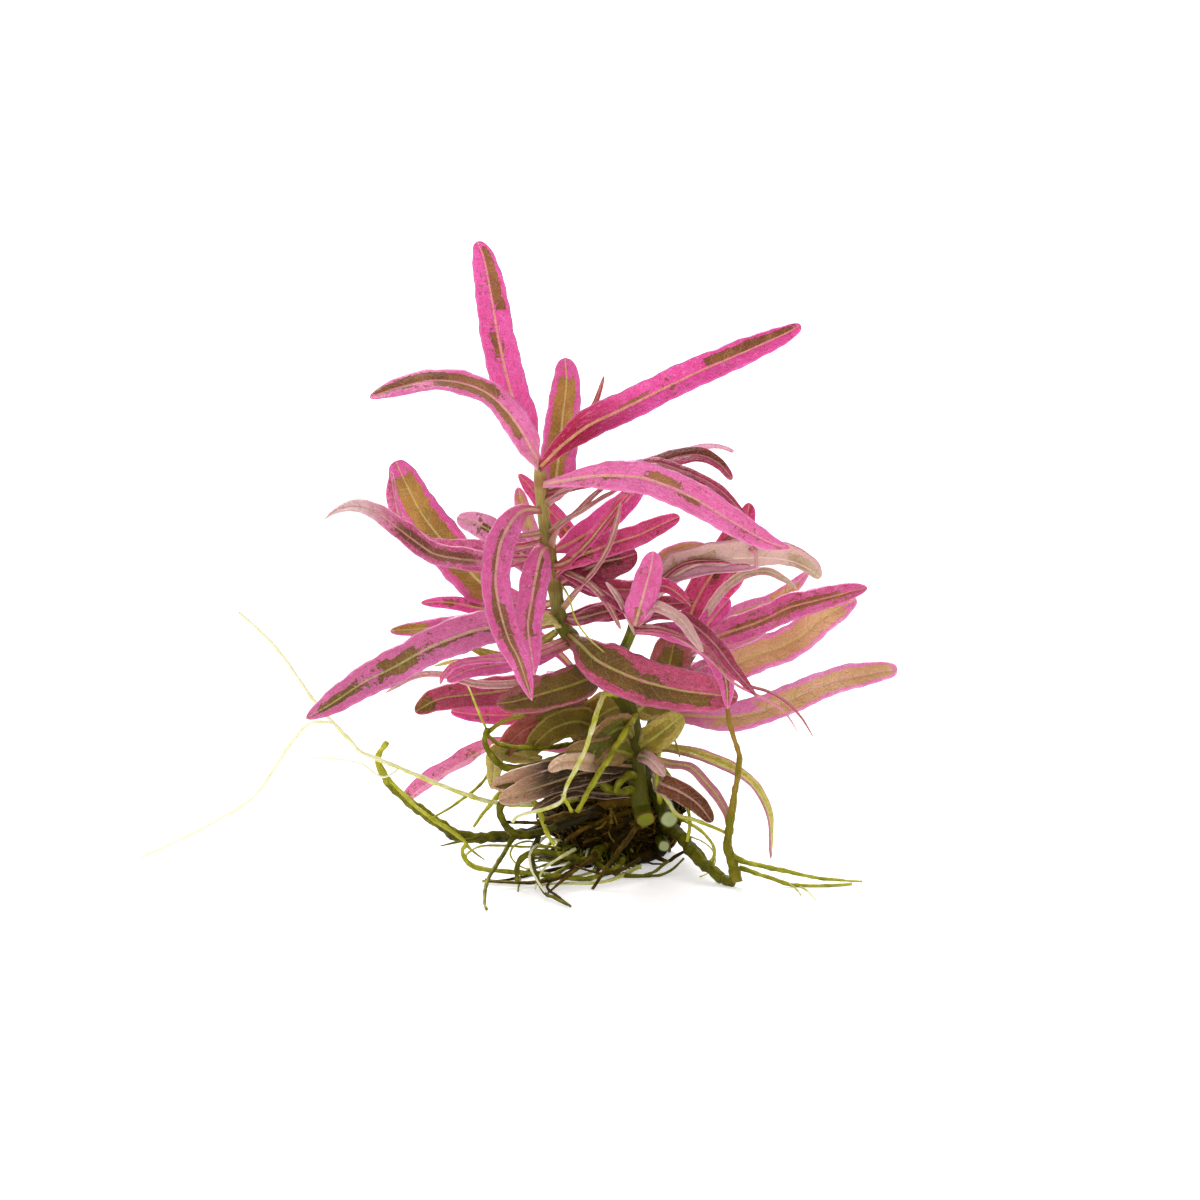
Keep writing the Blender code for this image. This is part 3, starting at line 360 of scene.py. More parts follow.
ROOTS = [
    Tube("left_root_thick", "root_plug", 0.6, 0.22, (-0.1, 0.58), [
        (-5.5, 8, 6), (-9.5, 6.6, 0.8), (-14, 5.2, -1.5), (-21.7, 4.8, -3), (-25.2, 6.6, -3.5),
        (-30.8, 10.8, -4), (-32.9, 13.2, -4.2), (-33.9, 16.1, -4.4), (-32.6, 18.2, -4.5)],
        growth=(1.1, 2.2, 1.9)),
    Tube("left_root_low", "root_plug", 0.42, 0.25, (0.3, 0.62), [
        (1, 2.4, 6), (-0.6, 0.4, -1.5), (-4.5, -1, -5.4), (-8.4, -0.7, -6.6), (-14, -0.1, -7.4),
        (-20.3, 0.6, -8), (-22.1, 2.8, -7.8), (-22, 4.5, -7.4), (-28, 8.7, -7), (-32.2, 12.9, -6.6)],
        finish="pale"),
    Tube("looped_root", "root_plug", 0.85, 0.3, (-0.3, 0.66), [
        (-1.5, 8.7, 6), (-4, 8.2, 0.6), (-7, 7, -1.5), (-11.2, 5.5, -3.5), (-14.7, 5.3, -5), (-16.8, 8, -6),
        (-16.1, 10.2, -6.4), (-14, 10.5, -6.6), (-11.9, 9.7, -6.8), (-10.1, 5.2, -7.2), (-9.1, 3.8, -7.4)]),
    Tube("front_left_root", "looped_root", 0.38, 0.2, (0.2, 0.34), [
        (-14.7, 5.3, -5), (-16.4, 2.4, -8.5), (-18.5, -1.1, -14), (-18.9, -3.9, -18.5), (-18.6, -5, -20.5)]),
    Tube("front_root", "looped_root", 0.38, 0.2, (0.06, 0.26), [
        (-11.2, 5.5, -3.5), (-12.3, 1.8, -5.6), (-10.8, -2.5, -13), (-9.1, -3.5, -16), (-6.9, -4.6, -19)]),
    Tube("right_root_thick", "root_plug", 0.95, 0.6, (0.04, 0.3), [
        (5.4, 6.6, 6), (8, 5.4, 0.8), (10, 3.1, -1.8), (11.9, 1, -4.5), (14.4, -1, -6.8)],
        growth=(1.05, 1.3, 1.35)),
    Tube("right_root_tall", "right_shoot", 0.28, 0.8, (0.8, 0.24), [
        (9.2, 29.2, 9.4), (12.5, 26.4, 3.6), (15, 22.9, -1), (15.4, 20.6, -2.2), (16.5, 17.1, -4),
        (16.7, 15, -5), (15.8, 9.4, -6.5), (15.1, 3.8, -7.2), (15.8, 1.4, -7.6), (16.4, -1.5, -8.5)],
        finish="tan", growth=(0.7, 0.75, 1.05)),
    Tube("far_right_root", "right_root_tall", 0.42, 0.18, (0.44, 0.6), [
        (15.3, 2.6, -7.4), (17.6, 1.4, -8.2), (23.8, 0, -8.4), (28, -0.9, -7.8), (34, -1.4, -6.5)],
        finish="pale"),
    Tube("front_root_bright", "main_stem", 0.55, 0.3, (0.62, 0.84), [
        (0.3, 24.5, 1.5), (-2, 25, -3), (-3.1, 22.7, -6), (-4.9, 17.1, -8.8), (-7.4, 12.2, -10),
        (-8.1, 10.1, -10.3), (-9.8, 9.1, -10.6), (-14, 8, -11), (-15.1, 7, -11.2)], finish="pale",
        growth=(0.8, 0.75, 0.75)),
    Tube("left_root_loop", "left_shoot", 0.45, 0.28, (0.28, 0.44), [
        (-2.5, 18.4, 8.4), (-4.2, 17.4, 3.5), (-7.7, 16.4, 0.5), (-12.6, 14.9, -0.8), (-16.4, 15, -2),
        (-18.9, 17.8, -2.8), (-18.6, 19.4, -3.2), (-16.1, 21.2, -3.8), (-13.3, 21.9, -4.2)], finish="tan"),
    Tube("hair_root_long", "root_plug", 0.4, 0.22, (0.66, 1.06), [
        (-4.5, 10.2, 6), (-8.5, 9.8, 0.2), (-12.6, 9.4, -2.2), (-18.2, 9.8, -3.6), (-25.2, 12.2, -5),
        (-30.8, 14.6, -6), (-36.1, 16.8, -6.8), (-37.8, 18.5, -7), (-42.6, 23.8, -7.4), (-46.2, 29, -7.6),
        (-49, 32.5, -7.8), (-53.2, 36.4, -8)], finish="pale"),
    Tube("hair_root_left", "hair_root_long", 0.25, 0.22, (0.96, 1.12), [
        (-40.2, 21, -7.2), (-43.4, 20.8, -6.2), (-46.2, 17.8, -5.4), (-49, 13.6, -4.8), (-51.8, 10.1, -4),
        (-58.8, 5.9, 0), (-67.6, 1.7, 5.6)], finish="pale"),
    Tube("back_root_left", "root_plug", 0.6, 0.35, (0.2, 0.5), [
        (-3, 7.2, 11), (-5.6, 6.6, 17), (-7.6, 6.3, 21.5), (-9.3, 6.9, 25.5)]),
    Tube("back_root_right", "root_plug", 0.6, 0.35, (0.2, 0.5), [
        (2.5, 7.2, 11), (5, 6.6, 17), (7.2, 6.2, 21), (8.4, 6.8, 25)]),
]

SMALL_LEAVES = [
    Leaf("crown_curl_thin", "dusky", "main_stem", 1, 60, [
        (-11.1, 56.4, -4.5), (-8.1, 59.5, -5.4), (-5.6, 62.7, -6), (-3.6, 65.2, -6.2), (-2.8, 67.3, -6.2),
        (-2.2, 69.3, -6.3)]),
    Leaf("arching_leaf_behind", "maroon", "main_stem", 2, 55, [
        (-10.6, 53.2, -4.4), (-2.8, 55.7, -7.5), (4.2, 57.1, -9.5), (8.5, 56, -11), (11.8, 54.6, -12.2),
        (14.3, 52.9, -13.2), (16.4, 50.8, -14), (17.6, 49.4, -14.5)]),
    Leaf("right_leaf_hidden", "crimson", "right_shoot", 2.8, 25, [
        (11.2, 32.5, 9.3), (14, 34.7, 9.8), (17.5, 36.5, 9.6), (21.1, 38.1, 9.2)]),
    Leaf("torn_leaf_flap", "rose", "middle_shoot", 0.5, 30, [
        (18.3, 45.2, -6.2), (18.8, 44.8, -6.9), (19, 43.7, -7.3), (18.9, 42.1, -7.4)]),
    Leaf("narrow_leaf_tan", "pale_and_sheen", "right_shoot", 1.6, 40, [
        (10.8, 33.6, 9.3), (13.4, 38.1, 5), (16.8, 41.3, 2), (20.3, 42.1, 0.5), (23.1, 40.9, -0.6),
        (24.8, 39.6, -1.2)], patches=[(0.5, 1, 0, 0.6)]),
    Leaf("tip_leaf_pale", "tan", "right_shoot", 2.4, 15, [
        (11.9, 33.9, 9.4), (16.8, 36.4, 8), (21, 37.8, 7), (23.8, 39.5, 6.2), (26.5, 42.1, 5.6)],
        patches=[(0.6, 0.85, 0, 0.7)]),
    Leaf("sliver_leaf_right", "tan", "right_shoot", 1.6, 20, [
        (11.2, 31.1, 9.3), (14.7, 31.6, 6.6), (17.5, 32.5, 5), (20.6, 33.7, 3.8)],
        patches=[(0.2, 0.9, 0, 0.6)]),
    Leaf("small_leaf_grey", "pale_and_sheen", "middle_shoot", 1.9, 40, [
        (2.4, 34.6, -7), (4.5, 37, -11), (6.7, 36.5, -13.4), (8.7, 35, -15.2), (10.1, 33, -16.6),
        (11.5, 30.9, -17.6)]),
    Leaf("folded_leaf_maroon", "maroon", "main_stem", 5.6, 5, [
        (-9, 40, -4), (-6.2, 41.7, -5.2), (-2.8, 43.3, -5.6), (0.3, 44, -5.8), (2.4, 44.7, -6)],
        patches=[(0.3, 0.8, 0, 0.3)]),
    Leaf("petiole_top", "stalk", "main_stem", 1.2, 70, [
        (-10.6, 51.7, -4.4), (-8.4, 53.1, -7), (-6.3, 53.9, -8.6), (-3.1, 54.3, -10)]),
    Leaf("petiole_upper", "stalk", "main_stem", 1.3, 65, [
        (-10.2, 47.5, -4.2), (-8.1, 49, -6.5), (-5.3, 50.5, -8.2), (-2.8, 52.1, -9.4), (-0.1, 53.5, -10.4)]),
    Leaf("petiole_curved", "stalk", "main_stem", 1.2, 60, [
        (-9.7, 45.2, -3.8), (-8.8, 48, -7.2), (-5.9, 50.4, -7.4), (-3.4, 52.9, -7.4), (-1.7, 54, -7.6)]),
    Leaf("petiole_lower", "stalk", "main_stem", 1.4, 65, [
        (-9, 42.8, -3.4), (-5, 45.9, -5.4), (-2.2, 49.4, -6.6), (-0.3, 51.8, -7.4), (1.4, 53.5, -7.8)]),
    Leaf("petiole_long_front", "stalk", "main_stem", 1.2, 60, [
        (-8.4, 36.8, -3.4), (-6.3, 39.2, -6.8), (-3.6, 42.1, -8.8), (-1.7, 45.2, -10), (-0.6, 48.4, -10.8),
        (0.1, 51.7, -11.2)]),
    Leaf("stem_leaf_back", "tan", "main_stem", 2.4, 10, [
        (-10.1, 45.8, -4), (-12, 47, -1.2), (-13.4, 50.3, 1.4), (-14.3, 53.9, 2.6)],
        patches=[(0.4, 0.9, 0, 0.6)]),
    Leaf("petiole_left_upper", "stalk", "main_stem", 1, 40, [
        (-10.5, 47.5, -4.2), (-12.6, 47.2, -6.4), (-14.6, 46.9, -8), (-15.7, 47, -9)]),
    Leaf("petiole_left_lower", "stalk", "main_stem", 1, 40, [
        (-9.9, 43.8, -3.6), (-12.3, 43.1, -6.2), (-14.6, 43.1, -7.8), (-16, 43.5, -8.6)]),
    Leaf("left_leaf_crimson", "folded_pink", "main_stem", 2.3, 30, [
        (-9, 36.3, -3), (-14, 36.4, 0), (-18.9, 36.8, 1.2), (-23.8, 37.7, 2), (-27.9, 37.7, 2.6)],
        patches=[(0.55, 0.66, 1, 0.5), (0.76, 0.84, 0, 0.4)]),
    Leaf("arching_strip_left", "pale_and_sheen", "left_shoot", 1.3, 40, [
        (-5.6, 25.5, 9.6), (-12.6, 26.3, -3), (-19.6, 26.3, -5.6), (-25.2, 27.7, -6.4), (-28.7, 27.4, -7),
        (-32.8, 25.1, -7.6)]),
    Leaf("curled_strip_left", "rose", "main_stem", 1.5, 50, [
        (-7.7, 32.5, -3), (-14, 30.2, -6.6), (-19.6, 29.7, -8), (-23, 29, -8.6), (-24.6, 27.6, -9),
        (-25.1, 26.3, -9.2)]),
    Leaf("folded_leaf_lilac", "rose", "main_stem", 3.4, 45, [
        (-7, 31.8, -2.6), (-11.9, 30.1, -4.6), (-16.8, 29.1, -5.6), (-21, 28.3, -6.4), (-24.2, 26.7, -7)]),
    Leaf("yellow_leaf_scrap", "yellow", "left_shoot", 2.8, 10, [
        (-11.2, 15.7, 7), (-17.1, 16.8, -1), (-17.6, 14.6, -2.4), (-17.9, 11.5, -3)]),
    Leaf("mauve_leaf_low", "mauve", "main_stem", 4.2, 35, [
        (2.5, 14, 1.5), (-4.2, 14, -5.6), (-9.1, 12.6, -7.4), (-13.3, 11.2, -8.4), (-16.9, 9.9, -9.2)],
        point=0.4, cup=0.35, base=0.94),
    Leaf("cream_leaf_low", "mauve", "main_stem", 2.8, 25, [
        (2.4, 14.6, 1.5), (-2.8, 15.1, -5.4), (-5.9, 15.5, -6.8), (-8.1, 15.3, -7.6), (-10, 14.2, -8)],
        point=0.4, cup=0.3, base=0.7),
    Leaf("mauve_strip_right", "arch", "main_stem", 1.6, 45, [
        (2.4, 16.4, 1.6), (6.7, 15.1, -1), (9.8, 14.6, -2.4), (11.9, 12.6, -3.4), (13.7, 10.4, -4.2),
        (15, 8, -4.8), (15.1, 5.9, -5.2)]),
    Leaf("mauve_leaf_node", "pale_and_sheen", "main_stem", 2, 20, [
        (2.4, 16.1, 1.6), (3.6, 16.1, -2.6), (4.9, 15.1, -4.2), (6.3, 13.4, -5)],
        patches=[(0.1, 0.6, 0, 0.5)]),
    Leaf("veined_leaf_brown", "veined", "right_shoot", 3.1, 10, [
        (4.9, 13.6, 3), (5.9, 12.3, -0.6), (8.4, 11.2, -1.8), (10.9, 9.5, -2.8), (13, 6.9, -3.4)],
        patches=[(0.28, 1, 0, 0.9)], base=0.4),
    Leaf("rust_leaf", "rust", "left_shoot", 3.8, 10, [
        (-3.9, 23.4, 8.8), (-8.4, 22.1, 4.6), (-12.6, 20.3, 2.4), (-15.5, 18.1, 1.2), (-17.1, 15.4, 0.4)]),
    Leaf("olive_leaf_left", "green", "left_shoot", 4.2, 10, [
        (-2.2, 19.2, 8), (-5.6, 21, 3.6), (-9.1, 20.2, 1.8), (-11.6, 18.2, 0.6), (-12.9, 16.1, 0)],
        patches=[(0.2, 0.9, 0, 0.8)]),
    Leaf("olive_leaf_middle", "bronze", "main_stem", 4.2, 15, [
        (2.2, 18.5, 1.8), (0.3, 20.2, -2.6), (-2, 18.8, -4.4), (-3.6, 16.8, -5.6), (-4.5, 14.8, -6.2)],
        patches=[(0.2, 0.9, 0, 0.6)]),
    Leaf("green_leaf_small", "green", "main_stem", 1.6, 20, [
        (-9, 33.6, -2.8), (-14, 30.2, -1), (-17.9, 30.4, 0), (-21.3, 31.5, 0.6)]),
    Leaf("green_sliver", "yellow", "main_stem", 0.9, 20, [
        (-9.5, 32.5, -2.4), (-16.8, 28.6, 0), (-22.4, 29.5, 1), (-26.2, 28.8, 1.6)]),
    Leaf("maroon_leaf_front", "maroon", "main_stem", 2.6, 45, [
        (-9.4, 42.7, -3.6), (-5.9, 41.2, -6.8), (-2.2, 39.2, -8), (1.7, 36.1, -9)]),
    Leaf("maroon_leaf_long", "maroon", "main_stem", 3.2, 40, [
        (-9, 41.4, -3.4), (-4.2, 40, -1.6), (1.4, 39.5, -0.4), (7.8, 40.5, 0.6)]),
    Leaf("maroon_leaf_low", "maroon", "main_stem", 3.2, 35, [
        (-8.3, 35.6, -2.6), (-3.1, 36.3, -0.6), (3.5, 37.2, 0.6), (10.4, 37.8, 1.6)]),
    Leaf("pink_bit_right", "rose", "right_shoot", 2.2, 15, [
        (9.8, 27.2, 9.4), (11.5, 28.6, 4.6), (12.9, 28.6, 3.4), (14.3, 26.6, 2.8)]),
    Leaf("tan_leaf_upper", "tan", "middle_shoot", 2.5, 35, [
        (2.4, 34.6, -7), (4.2, 40.2, -3.6), (5.9, 43.5, -3.2), (7.8, 44.8, -3.2), (10.1, 45.4, -3.6),
        (12.9, 45.2, -4.2)], patches=[(0.2, 0.95, 0, 0.7)]),
    Leaf("crimson_leaf_folded", "crimson", "main_stem", 1.7, 45, [
        (-9.4, 40.9, -4), (-6.7, 43.7, -7.4), (-4.2, 46.2, -8.4), (-2, 49, -9.2), (0, 51.4, -10),
        (2.1, 53.6, -10.8)], patches=[(0.3, 0.8, 0, 0.3)], point=0.9, cup=0.6),
    Leaf("petiole_fan_low", "stalk", "main_stem", 1.2, 55, [
        (-8.5, 42.3, -4), (-6.2, 41.4, -7.2), (-3.9, 40, -8.4), (-1.7, 37.4, -8.8), (0.1, 34, -8.4)]),
    Leaf("crimson_leaf_pointed", "crimson", "middle_shoot", 2.3, 35, [
        (2.4, 35, -7), (4.2, 38.9, -8.8), (5.9, 40, -9.8), (7.8, 39.1, -10.6), (9.9, 37.2, -11.2)], point=1,
        cup=0.5),
    Leaf("strip_pale_middle", "pale_and_sheen", "middle_shoot", 1.1, 50, [
        (2.2, 33.6, -7), (0.8, 36.4, -8.6), (-0.6, 38.9, -9.4), (-2, 40.6, -9.8)]),
    Leaf("maroon_leaf_flat", "maroon", "main_stem", 2.8, 45, [
        (-8.4, 35.3, -2.6), (-5.9, 35.4, -5.6), (-2.5, 36.3, -6.8), (1.1, 37.2, -7.4)],
        patches=[(0.3, 0.9, 0, 0.5)]),
    Leaf("strand_right_long", "maroon", "middle_shoot", 0.55, 50, [
        (2.2, 34.2, -7.2), (6.2, 34, -9.6), (11.2, 31.8, -12.4), (15.1, 28, -14.6), (17.5, 26.3, -15.4),
        (20.7, 25.3, -16), (23.2, 23.8, -16.4), (25.3, 21.6, -16.8), (27, 18.8, -17)]),
    Leaf("strand_right_short", "rose", "middle_shoot", 0.45, 50, [
        (2.2, 33.9, -7.2), (6.7, 33.3, -9.2), (11.8, 30.4, -11.8), (15.7, 26.6, -14), (19.6, 24.6, -15.2),
        (22.1, 23.2, -15.8), (23.7, 21.4, -16), (24.8, 19.5, -16.2)]),
    Leaf("olive_leaf_back_left", "green", "main_stem", 5.6, 10, [
        (1.7, 21.8, 1.6), (0, 23.1, 4.4), (-2.4, 22.1, 5.6), (-4.5, 20.2, 6.2), (-6.2, 17.9, 6.6)],
        patches=[(0.1, 0.9, 0, 0.8)]),
    Leaf("olive_leaf_back_right", "green", "main_stem", 4.6, 10, [
        (2, 22.1, 1.6), (3.9, 23.5, 4), (6.2, 23.2, 5), (8.7, 21.3, 5.4)], patches=[(0.1, 0.9, 0, 0.7)]),
    Leaf("brown_leaf_back", "green", "left_shoot", 5.4, 15, [
        (-5, 23.2, 9.4), (-6.7, 24.9, 6), (-9.5, 24.6, 4.6), (-12.3, 23.2, 3.6), (-14.8, 21.6, 2.8)],
        patches=[(0.1, 0.9, 0, 0.8)]),
    Leaf("veined_scrap_right", "mauve", "right_shoot", 1.8, 15, [
        (4.5, 14.6, 4), (6.2, 11.6, 0.8), (7.8, 11.3, 0), (9.4, 10.9, -0.6)]),
    Leaf("torn_leaf_fold", "maroon", "middle_shoot", 1, 60, [
        (4.2, 39.8, -5), (6.4, 41.3, -5.2), (8, 42.6, -5.6), (9.8, 43.3, -5.8), (11.8, 43.5, -5.8),
        (13.7, 43.5, -5.8), (15.8, 43.1, -5.8)], patches=[(0.2, 0.9, 0, 0.6)], point=0.9),
    Leaf("torn_leaf_lower", "blush", "middle_shoot", 1.7, 60, [
        (4.9, 39.5, -4.8), (7.3, 40.6, -4.6), (10.1, 41.6, -4.8), (13.2, 42.1, -5), (16.4, 42.3, -5.2),
        (19.6, 42.6, -5.6)], point=0.8, cup=0.4, ruffle=2),
    Leaf("mauve_leaf_lowest", "mauve", "main_stem", 2, 45, [
        (2.8, 10.8, 1.2), (-2.8, 10.8, -2), (-6.3, 11.3, -6), (-8.7, 10.6, -7), (-10.6, 9.5, -7.4),
        (-12.5, 8.4, -7.6)], base=1.1),
    Leaf("petiole_fan_upper", "stalk", "main_stem", 1, 60, [
        (-10.2, 51.7, -4.4), (-9, 52.4, -6.6), (-7.7, 53.1, -7.6), (-6.4, 53.9, -8.4), (-4.8, 54.7, -9.2)]),
    Leaf("pale_leaf_node", "yellow", "main_stem", 2.4, 40, [
        (-8.3, 34.2, -2.4), (-9, 35, -5.4), (-9.8, 35.4, -6.8), (-10.6, 35.3, -7.6), (-11.5, 34.6, -8.2)],
        point=0.4),
    Leaf("olive_leaf_inner", "green", "right_shoot", 3.4, 20, [
        (5.6, 20.9, 8.8), (4.4, 22.2, 7.4), (2.6, 23.9, 7.2), (0.6, 25.6, 8)], patches=[(0.3, 0.9, 0, 0.5)]),
]

